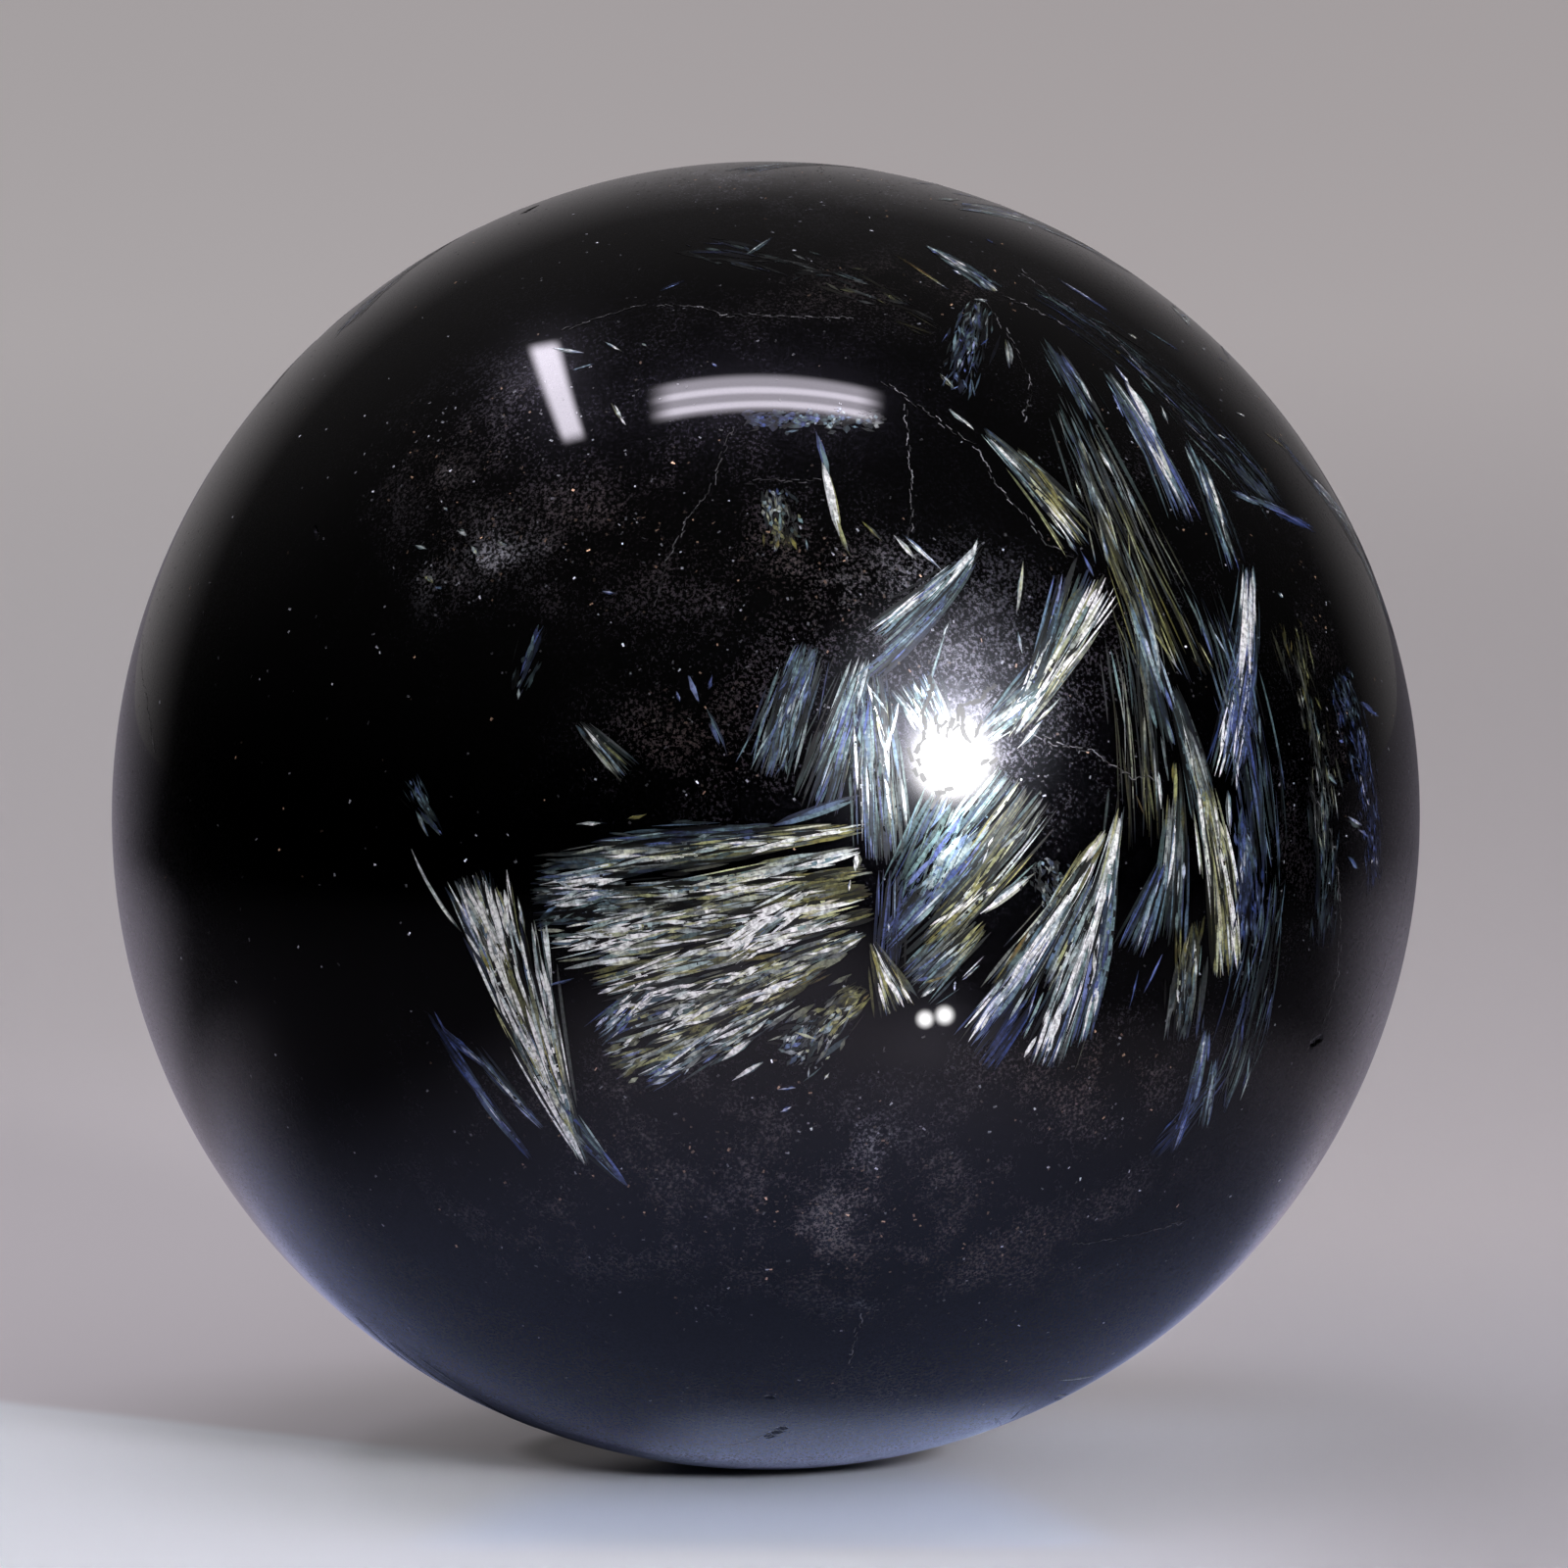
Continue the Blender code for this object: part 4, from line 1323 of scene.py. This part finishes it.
class StoneSettings(bpy.types.PropertyGroup):
    """What a user may change on the stone."""

    polish: amount("Polish", "Roughness of the polished surface", 0.02, max=1.0)
    needle_light: amount("Needles", "How bright the needles are", 1.0)
    grain_count: bpy.props.IntProperty(
        name="Grains", description="How many grains are tried all over the ball", default=GRAINS, min=0
    )
    crack_width: amount(
        "Crack width", "Width from which the cracks vary", CRACK_WIDTH, unit="LENGTH", precision=5
    )
    stone_colour: colour("Stone", "Colour of the plain stone", (0.003, 0.003, 0.004))
    brown_colour: colour("Brown", "Colour of the brown mottles", (0.040, 0.026, 0.022))
    smoke_colour: colour("Smoke", "Colour of the smoky spots", (0.22, 0.22, 0.25))
    warm_grain: colour("Warm grains", "Colour of the warm grains", (1.0, 0.62, 0.42))
    cool_grain: colour("Cool grains", "Colour of the cool grains", (0.85, 0.86, 1.0))
    crack_colour: colour("Cracks", "Colour of the hairline cracks", (0.80, 0.78, 0.85))


class StageSettings(bpy.types.PropertyGroup):
    """What a user may change on the stage."""

    key_light: amount("Key light", "Brightness of the round lamp's face", 172.0)
    shoulder_light: amount("Shoulder", "Brightness of the haze just over the lamp", 9.0)
    halo_light: amount("Halo", "Brightness of the wide soft glow round the lamp", 3.0)
    tube_light: amount("Tubes", "Brightness of the tubes and of the side panel", 12.0)
    spark_light: amount("Sparks", "Brightness of the two small lamps", 30.0)
    room_light: amount("Room light", "Even light from all round", 0.6)
    wall_light: amount("Wall", "How light the wall behind looks", 0.37)
    sheet_colour: colour("Sheet", "Colour of the sheet", (0.88, 0.92, 0.98))
    # Painted shade on the sheet's right side.
    right_sheet_colour: colour("Sheet, right", "Colour of the sheet's shaded side", (0.50, 0.49, 0.52))
    floor_colour: colour("Floor", "Colour of the floor far away", (0.93, 0.88, 0.88))
    # Painted shade on the floor behind the ball and left of it, and painted light right of its foot.
    near_floor_shade_colour: colour("Floor, near", "Colour of the floor behind the ball", (0.59, 0.56, 0.575))
    left_floor_shade_colour: colour("Floor, left", "Colour of the floor left of the ball", (0.72, 0.685, 0.72))
    right_floor_light_colour: colour("Floor, right", "Colour of the floor right of the ball", (0.82, 0.84, 0.93))
    # Colours of the floor's painted light as the polish mirrors it.
    near_mirrored: colour("Mirrored sheet", "Colour of the sheet in the polish", (0.54, 0.62, 1.0))
    far_mirrored: colour("Mirrored floor", "Colour of the floor in the polish", (0.82, 0.77, 0.90))
    # A painted reflection of the ball on the sheet.
    painted_reflection_colour: colour("Mirror image", "Colour of the sheet where it mirrors the ball", (0.80, 0.88, 1.0))


class STONE_OT_add_ball(bpy.types.Operator):
    """Adds the polished ball"""

    bl_idname = "stone.add_ball"
    bl_label = "Polished ball"

    def execute(self, context):
        look = context.scene.stone
        ball = ball_mesh()
        keep_ground(ball)
        ball.data.materials.clear()
        ball.data.materials.append(stone_material(look))
        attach(ball, STONE_BODY)
        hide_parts(STONE_NODE)
        return {"FINISHED"}


class STONE_OT_add_needles(bpy.types.Operator):
    """Adds the fans of needles, flush in the ball's surface"""

    bl_idname = "stone.add_needles"
    bl_label = "Needles"

    def execute(self, context):
        look = context.scene.stone
        slivers = Slivers()
        lay_sprays(slivers, look.needle_light)
        needles = slivers.piece("needles", sliver_material("needles", look))
        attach(needles, STONE_BODY)
        return {"FINISHED"}


class STONE_OT_add_grains(bpy.types.Operator):
    """Adds the tiny grains and the hairline cracks"""

    bl_idname = "stone.add_grains"
    bl_label = "Grains and cracks"

    def execute(self, context):
        look = context.scene.stone
        slivers = Slivers()
        lay_grains(slivers, look)
        lay_cracks(slivers, look)
        grains = slivers.piece("grains", sliver_material("grains", look))
        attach(grains, STONE_BODY)
        return {"FINISHED"}


# The stage. The camera sees neither the shell nor the lamps, but the polish mirrors them. Each
# lamp is placed by the pixels where the photograph has its mirror image.
FLOOR_SIZE = 160.0
FLOOR_ROUGH = 0.3
SHELL_RADIUS = 90.0
SKY = (1.0, 0.97, 0.98, 1.0)
LILAC_LIGHT = (0.93, 0.87, 1.0)
WHITE_LIGHT = (1.0, 0.99, 1.0)
LAVENDER_LIGHT = (0.84, 0.86, 1.0)


class Lamp(NamedTuple):
    """A lamp's face, with the four pixels of its corners' mirror images.

    A spot's core says how much of its light comes from its middle.
    """

    name: str
    corners: tuple
    distance: float
    colour: tuple
    light: str
    form: str
    core: float = 1.0


def around(x, y, reach):
    """The four corners of a square round a pixel, in a lamp's order."""
    return ((x - reach, y + reach), (x + reach, y + reach), (x + reach, y - reach), (x - reach, y - reach))


# The lamps' faces, in shares of their width and height: where the light ends and is full.
SPOT_EDGE = (0.5, 0.0)
TUBES_LOWER, TUBES_APART, TUBE_EDGE = 0.085, 0.165, (0.12, 0.02)
TUBE_SHINE, BETWEEN_TUBES = 0.5, 0.45
TUBES_WIDE, TUBES_HIGH = (0.5, 0.36), (0.5, 0.30)
PANEL_ASIDE, PANEL_WIDE, PANEL_HIGH = 0.04, (0.46, 0.16), (0.5, 0.36)
TUBE_CORNERS = ((660, 437), (903, 438), (907, 398), (657, 393))
PANEL_CORNERS = ((573, 458), (605, 450), (577, 342), (533, 350))
LAMPS = (
    Lamp("key", around(966, 775, 85), 0.6, WHITE_LIGHT, "key_light", "spot", 4.6),
    Lamp("key_shoulder", around(964, 745, 76), 0.9, LAVENDER_LIGHT, "shoulder_light", "spot", 1.6),
    Lamp("key_halo", around(948, 738, 152), 1.2, LAVENDER_LIGHT, "halo_light", "spot", 1.7),
    Lamp("overhead_tubes", TUBE_CORNERS, 0.6, LILAC_LIGHT, "tube_light", "tubes"),
    Lamp("side_panel", PANEL_CORNERS, 0.6, LILAC_LIGHT, "tube_light", "panel"),
    Lamp("left_spark", around(944, 1040, 12), 0.06, WHITE_LIGHT, "spark_light", "spot"),
    Lamp("right_spark", around(964, 1036, 13), 0.06, WHITE_LIGHT, "spark_light", "spot"),
)


def glow_material(lamp, strength):
    """A lamp's face: a round spot, a soft panel, or a pair of tubes. It hides no other lamp."""
    material, graph = shining_material(lamp.name)
    u, v, w = graph.place("UV").parts()
    wide, high = u - 0.5, v - 0.5
    if lamp.form == "spot":
        glow = ((wide * wide + high * high) ** 0.5).between(*SPOT_EDGE) ** lamp.core
    elif lamp.form == "tubes":
        tubes = abs(abs(high + TUBES_LOWER) - TUBES_APART).between(*TUBE_EDGE)
        tubes = tubes * TUBE_SHINE + BETWEEN_TUBES
        glow = tubes * abs(wide).between(*TUBES_WIDE) * abs(high).between(*TUBES_HIGH)
    else:
        glow = abs(wide + PANEL_ASIDE).between(*PANEL_WIDE) * abs(high).between(*PANEL_HIGH)
    shine = {"Color": (*lamp.colour, 1.0), "Strength": glow * strength}
    shine = graph.node("ShaderNodeEmission", {}, shine)
    clear = graph.node("ShaderNodeBsdfTransparent", {}, {})
    both = graph.node("ShaderNodeAddShader", {}, {0: shine, 1: clear})
    graph.node("ShaderNodeOutputMaterial", {}, {"Surface": both})
    return material


def add_lamp(lamp, strength):
    """A flat lamp whose mirror image in the ball has its corners at the lamp's four pixels."""
    deselect_all()
    bpy.ops.mesh.primitive_plane_add(size=1.0)
    card = bpy.context.object
    card.name = lamp.name
    first, second, third, fourth = [mirrored(pixel, lamp.distance) for pixel in lamp.corners]
    for vertex, corner in zip(card.data.vertices, (first, second, fourth, third)):
        vertex.co = corner
    card.data.materials.append(glow_material(lamp, strength))
    card.visible_camera = False


# How light the shell is behind the ball and overhead, by direction.
SHELL_COLOUR = (1.0, 0.94, 0.97, 1.0)
SHELL_BEHIND, SHELL_BEHIND_LIGHT = (0.60, 0.98), 0.20
SHELL_RIGHT, SHELL_RIGHT_DIMS = (0.10, 0.35), 0.4
SHELL_TOP, SHELL_TOP_DIMS = (0.15, 0.60), 0.35
SHELL_OVERHEAD, SHELL_OVERHEAD_LIGHT = (0.0, 0.9), 0.03
SHELL_OVER_BACK, SHELL_OVER_BACK_LIGHT = (0.0, 0.6), 0.03


def shell_material():
    """The dim room that the polish mirrors: lighter behind the ball and overhead."""
    material, graph = shining_material("room_shell")
    x, y, z = graph.node("ShaderNodeVectorMath", {"operation": "NORMALIZE"}, {0: graph.place()}).parts()
    towards_right = 1.0 - x.between(*SHELL_RIGHT) * SHELL_RIGHT_DIMS
    towards_top = 1.0 - z.between(*SHELL_TOP) * SHELL_TOP_DIMS
    behind = y.between(*SHELL_BEHIND) * towards_right * towards_top * SHELL_BEHIND_LIGHT
    over_back = y.between(*SHELL_OVER_BACK) * SHELL_OVER_BACK_LIGHT
    overhead = z.between(*SHELL_OVERHEAD) * (over_back + SHELL_OVERHEAD_LIGHT)
    shine = graph.node("ShaderNodeEmission", {}, {"Color": SHELL_COLOUR, "Strength": behind.most(overhead)})
    graph.node("ShaderNodeOutputMaterial", {}, {"Surface": shine})
    material.cycles.emission_sampling = "NONE"
    return material


def add_shell():
    """The shell of dim light that only the polish sees."""
    deselect_all()
    bpy.ops.mesh.primitive_uv_sphere_add(segments=48, ring_count=24, radius=SHELL_RADIUS)
    shell = bpy.context.object
    shell.name = "room_shell"
    shell.data.materials.append(shell_material())
    shell.visible_camera = False
    shell.visible_diffuse = False
    shell.visible_shadow = False
    shell.visible_transmission = False


# The floor's tones are painted light and shade. Each pair says where a tone begins and where it is full,
# in metres to the right of the ball's foot (ACROSS), behind it (BEHIND) or away from it all round (AWAY).
EDGE_BLURS_ACROSS = (-0.02, 0.03)
EDGE_SHARP, EDGE_BLUR = 0.0016, 0.05
SHEET_SHADED_ACROSS = (0.004, 0.030)
FAR_BEHIND = (0.15, 1.3)
LEFT_ACROSS, LEFT_BEHIND = (0.01, -0.03), (0.20, 0.06)
SHADED_ACROSS, SHADED_BEHIND = (0.010, 0.028), (0.100, 0.020)
RIGHT_ACROSS, RIGHT_END_ACROSS, RIGHT_BEHIND = (0.003, 0.010), (0.034, 0.012), (0.026, 0.006)
# Painted light makes the floor paler towards the left, by how far left it is over how far off, and more so
# behind.
PALER_TO_LEFT, PALER_BEHIND = (0.05, -0.07), (0.15, 0.60)
PALER_NEAR, PALER_FAR = 0.06, 0.16

# The ball's reflection is painted on the sheet inside the outline that the camera sees, and a painted glow
# lights it there.
IMAGE_EDGE = (RADIUS + 0.0012, RADIUS - 0.0016)
IMAGE_BEHIND = (-0.029, -0.022)
IMAGE_STRENGTH = 0.85
IMAGE_SHINE = (0.03, 0.04, 0.10, 1.0)
IMAGE_SHINE_AWAY = (0.0080, 0.0200)
# A painted contact shadow: a dark patch on the sheet under and behind the ball's foot.
CONTACT_SHADOW_X, CONTACT_SHADOW_Y, CONTACT_SHADOW_STRETCH = -0.0018, 0.0030, 1.1
CONTACT_SHADOW_AWAY, CONTACT_SHADOW_STRENGTH = (0.0096, 0.0076), 0.95

# The floor's painted light and shade as the polish mirrors it, from 0 for black to 1, with the places as
# above.
ALL_AWAY, ALL_LIGHT = (0.24, 0.04), 0.04
MIDDLE_ACROSS, MIDDLE_LIGHT = (0.050, 0.010), 0.30
FOOT_AWAY, FOOT_LIGHT = (0.012, 0.003), 0.60
BESIDE_ACROSS, BESIDE_LIGHT = (0.0, 0.04), 0.12
BESIDE_AWAY, BESIDE_END_AWAY = (0.030, 0.048), (0.080, 0.055)
CORNER_ACROSS, CORNER_AWAY, CORNER_LIGHT = (0.03, -0.02), (0.09, 0.03), 0.50
CORNER_BEHIND, CORNER_END_BEHIND = (-0.012, 0.022), (0.05, 0.02)
# The light wedge behind the ball is narrower far off, wider and dimmer towards the right.
FAR_OFF_AWAY = (0.12, 0.30)
WEDGE_EDGE, WEDGE_EDGE_FAR = 0.33, 0.27
WEDGE_FULL, WEDGE_FULL_FAR = 0.78, 0.20
WEDGE_LIGHT, WEDGE_FAR_DIMS = 0.37, 0.07
WEDGE_RIGHT_ACROSS, WEDGE_RIGHT_WIDENS = (0.0, 0.04), 0.42
WEDGE_RIGHT_DIMS, WEDGE_RIGHT_FAR_DIMS = 0.36, 0.20
# The ball's own shade on the floor behind its left side.
SHADE_X, SHADE_Y, SHADE_AWAY, SHADE_STRENGTH = -0.009, 0.007, (0.011, 0.004), 0.8
BLUE_AWAY = (0.065, 0.02)
# A painted glow: a bright ring of sheet close round the foot, which fades out to the left.
RING_AWAY, RING_END_AWAY, RING_ACROSS = (0.0030, 0.0125), (0.0150, 0.0105), (-0.0075, -0.0010)
RING_SHINE, RING_LIGHT = (0.14, 0.165, 0.25, 1.0), 1.4
# Keeps a distance that is divided by away from nought.
SMALLEST = 0.0001


def on_floor(pixel):
    """The point of the floor that a pixel of the photograph shows."""
    ray = sight(pixel)
    return CAMERA_PLACE + ray * ((FLOOR_HEIGHT - CAMERA_PLACE.z) / ray.z)


def past_sheet(x, y):
    """0 on the sheet and 1 past its edge, which is sharp at the left and soft behind the ball."""
    start, end = on_floor(SHEET_EDGE[0]), on_floor(SHEET_EDGE[1])
    slope = (end.y - start.y) / (end.x - start.x)
    past = y - start.y - (x - start.x) * slope
    blur = x.between(*EDGE_BLURS_ACROSS) * EDGE_BLUR + EDGE_SHARP
    return (past / blur).between(-1.0, 1.0)


def pale_colours(graph, stage, x, y):
    """The sheet and the floor past it, with painted light and shade: lighter far off and to the left,
    darker at the right.
    """
    # Painted shade: the floor is darker near behind the ball.
    floor = graph.mix(y.between(*FAR_BEHIND), (*stage.near_floor_shade_colour, 1.0), (*stage.floor_colour, 1.0))
    to_left = (x / (y + CAMERA_DISTANCE)).between(*PALER_TO_LEFT)
    paler = to_left * (y.between(*PALER_BEHIND) * PALER_FAR + PALER_NEAR)
    floor = graph.mix(paler, floor, WHITE_PAINT)
    # Painted shade on the floor left of the ball and at its right.
    left = x.between(*LEFT_ACROSS) * y.between(*LEFT_BEHIND)
    floor = graph.mix(left, floor, (*stage.left_floor_shade_colour, 1.0))
    shaded = x.between(*SHADED_ACROSS) * y.between(*SHADED_BEHIND)
    floor = graph.mix(shaded, floor, (*stage.right_sheet_colour, 1.0))
    # Painted light on the floor right of the ball's foot.
    right = x.between(*RIGHT_ACROSS) * x.between(*RIGHT_END_ACROSS) * y.between(*RIGHT_BEHIND)
    floor = graph.mix(right, floor, (*stage.right_floor_light_colour, 1.0))
    # Painted shade on the sheet's right side.
    across = x.between(*SHEET_SHADED_ACROSS)
    sheet = graph.mix(across, (*stage.sheet_colour, 1.0), (*stage.right_sheet_colour, 1.0))
    return graph.mix(past_sheet(x, y), sheet, floor)


def painted_ball_reflection(x, y):
    """1 where the ball's reflection is painted on the sheet for the camera.

    A line from the camera's own mirror image, below the floor, passes the ball's centre by less
    than the radius there.
    """
    away, low, high = -CAMERA_PLACE.y, CAMERA_PLACE.z, CAMERA_PLACE.z + CENTRE.z
    deep = y + away
    crossed = deep * high - low * away
    crossed = crossed * crossed + x * x * (high * high + away * away)
    off_axis = (crossed / (x * x + deep * deep + low * low)) ** 0.5
    return off_axis.between(*IMAGE_EDGE) * y.between(*IMAGE_BEHIND) * IMAGE_STRENGTH


def mirrored_light(x, y, distance):
    """How light the polish mirrors the floor at a place: painted light and shade."""
    near_by = distance.between(*ALL_AWAY)
    middle = abs(x).between(*MIDDLE_ACROSS) * near_by * MIDDLE_LIGHT
    at_foot = distance.between(*FOOT_AWAY) * FOOT_LIGHT
    beside = x.between(*BESIDE_ACROSS) * distance.between(*BESIDE_AWAY)
    beside = beside * distance.between(*BESIDE_END_AWAY) * BESIDE_LIGHT
    corner = x.between(*CORNER_ACROSS) * distance.between(*CORNER_AWAY) * CORNER_LIGHT
    corner = corner * y.between(*CORNER_BEHIND) * y.between(*CORNER_END_BEHIND)
    far_off = distance.between(*FAR_OFF_AWAY)
    right = x.between(*WEDGE_RIGHT_ACROSS)
    edge = (far_off * WEDGE_EDGE_FAR + WEDGE_EDGE) * (1.0 - right * WEDGE_RIGHT_WIDENS)
    wedge = (y / (distance + SMALLEST)).between(edge, far_off * WEDGE_FULL_FAR + WEDGE_FULL)
    wedge = wedge * (1.0 - right * (far_off * WEDGE_RIGHT_FAR_DIMS + WEDGE_RIGHT_DIMS))
    wedge = wedge * (WEDGE_LIGHT - far_off * WEDGE_FAR_DIMS)
    light = (near_by * ALL_LIGHT + middle + at_foot + beside + corner + wedge).least(1.0)
    shade = ((x - SHADE_X) ** 2.0 + (y - SHADE_Y) ** 2.0) ** 0.5
    return light * (1.0 - shade.between(*SHADE_AWAY) * SHADE_STRENGTH)


def floor_material(stage):
    """The pale sheet and floor with painted light and shade for the camera, and a dimmer likeness of
    painted light for the polish.
    """
    material, graph, shader = new_material("pale_floor")
    x, y, z = graph.place().parts()
    # A painted reflection of the ball on the sheet.
    image = painted_ball_reflection(x, y)
    pale = graph.mix(image, pale_colours(graph, stage, x, y), (*stage.painted_reflection_colour, 1.0))
    # A painted contact shadow darkens the sheet round the ball's foot.
    contact_shadow = (((x - CONTACT_SHADOW_X) / CONTACT_SHADOW_STRETCH) ** 2.0 + (y - CONTACT_SHADOW_Y) ** 2.0) ** 0.5
    pale = graph.mix(contact_shadow.between(*CONTACT_SHADOW_AWAY) * CONTACT_SHADOW_STRENGTH, pale, BLACK)
    # A painted glow inside the ball's painted reflection, away from its foot.
    shine = graph.mix(image * contact_shadow.between(*IMAGE_SHINE_AWAY), BLACK, IMAGE_SHINE)
    graph.feed(shader, Base_Color=pale, Emission_Color=shine)
    shader.inputs["Emission Strength"].default_value = 1.0
    shader.inputs["Roughness"].default_value = FLOOR_ROUGH

    distance = (x * x + y * y) ** 0.5
    # What the polish mirrors: painted light and shade on a dull floor, with a painted glow round the foot.
    hue = graph.mix(distance.between(*BLUE_AWAY), (*stage.far_mirrored, 1.0), (*stage.near_mirrored, 1.0))
    dim = graph.mix(mirrored_light(x, y, distance), BLACK, hue)
    dull = graph.node("ShaderNodeBsdfDiffuse", {}, {"Color": dim})
    ring = distance.between(*RING_AWAY) * distance.between(*RING_END_AWAY)
    ring = ring * x.between(*RING_ACROSS) * RING_LIGHT
    glow = graph.node("ShaderNodeEmission", {}, {"Color": RING_SHINE, "Strength": ring})
    dull = graph.node("ShaderNodeAddShader", {}, {0: dull, 1: glow})
    glossy = Value(graph, shader.outputs[0])
    seen = graph.node("ShaderNodeMixShader", {}, {0: graph.seen_by_camera(), 1: dull, 2: glossy})
    graph.feed(material.node_tree.nodes["Material Output"], Surface=seen)
    return material


def add_floor(stage):
    """The floor with the sheet that the ball stands on."""
    deselect_all()
    bpy.ops.mesh.primitive_plane_add(size=FLOOR_SIZE, location=(0.0, 0.0, FLOOR_HEIGHT))
    floor = bpy.context.object
    floor.name = "floor"
    floor.data.materials.append(floor_material(stage))


def add_room(stage):
    """The even light from all round, which looks darker to the camera."""
    world = bpy.data.worlds.new("room")
    bpy.context.scene.world = world
    world.use_nodes = True
    world.cycles_visibility.glossy = False
    graph = Graph(world.node_tree)
    world.node_tree.nodes.clear()
    strength = stage.room_light + graph.seen_by_camera() * (stage.wall_light - stage.room_light)
    sky = graph.node("ShaderNodeBackground", {}, {"Color": SKY, "Strength": strength})
    graph.node("ShaderNodeOutputWorld", {}, {"Surface": sky})


def add_camera():
    """The camera, where the photograph was taken from."""
    bpy.ops.object.camera_add(location=CAMERA_PLACE)
    camera = bpy.context.object
    camera.rotation_mode = "QUATERNION"
    camera.rotation_quaternion = (CAMERA_PLACE - AIM).to_track_quat("Z", "Y")
    camera.data.lens = LENS
    camera.data.sensor_width = SENSOR_WIDTH
    camera.data.clip_start = 0.01
    bpy.context.scene.camera = camera


class STONE_OT_add_stage(bpy.types.Operator):
    """Adds the pale floor, the room, the lamps and the camera"""

    bl_idname = "stone.add_stage"
    bl_label = "Stage"

    def execute(self, context):
        stage = context.scene.stone_stage
        add_floor(stage)
        add_room(stage)
        add_shell()
        for lamp in LAMPS:
            add_lamp(lamp, getattr(stage, lamp.light))
        add_camera()
        context.scene.view_settings.view_transform = "Standard"
        return {"FINISHED"}


class STONE_PT_panel(bpy.types.Panel):
    """The settings of the stone and of the stage, each with its buttons"""

    bl_label = "Arfvedsonite sphere"
    bl_space_type = "VIEW_3D"
    bl_region_type = "UI"
    bl_category = "Stone"

    def draw(self, context):
        layout = self.layout
        for name in StoneSettings.__annotations__:
            layout.prop(context.scene.stone, name)
        for button in (STONE_OT_add_ball, STONE_OT_add_needles, STONE_OT_add_grains):
            layout.operator(button.bl_idname)
        for name in StageSettings.__annotations__:
            layout.prop(context.scene.stone_stage, name)
        layout.operator(STONE_OT_add_stage.bl_idname)


CLASSES = (
    StoneSettings,
    StageSettings,
    STONE_OT_add_ball,
    STONE_OT_add_needles,
    STONE_OT_add_grains,
    STONE_OT_add_stage,
    STONE_PT_panel,
)


def register():
    for each in CLASSES:
        bpy.utils.register_class(each)
    bpy.types.Scene.stone = bpy.props.PointerProperty(type=StoneSettings)
    bpy.types.Scene.stone_stage = bpy.props.PointerProperty(type=StageSettings)


def unregister():
    del bpy.types.Scene.stone_stage
    del bpy.types.Scene.stone
    for each in reversed(CLASSES):
        bpy.utils.unregister_class(each)


def main():
    register()
    bpy.ops.stone.add_ball()
    bpy.ops.stone.add_needles()
    bpy.ops.stone.add_grains()
    bpy.ops.stone.add_stage()


if __name__ == "__main__":
    main()
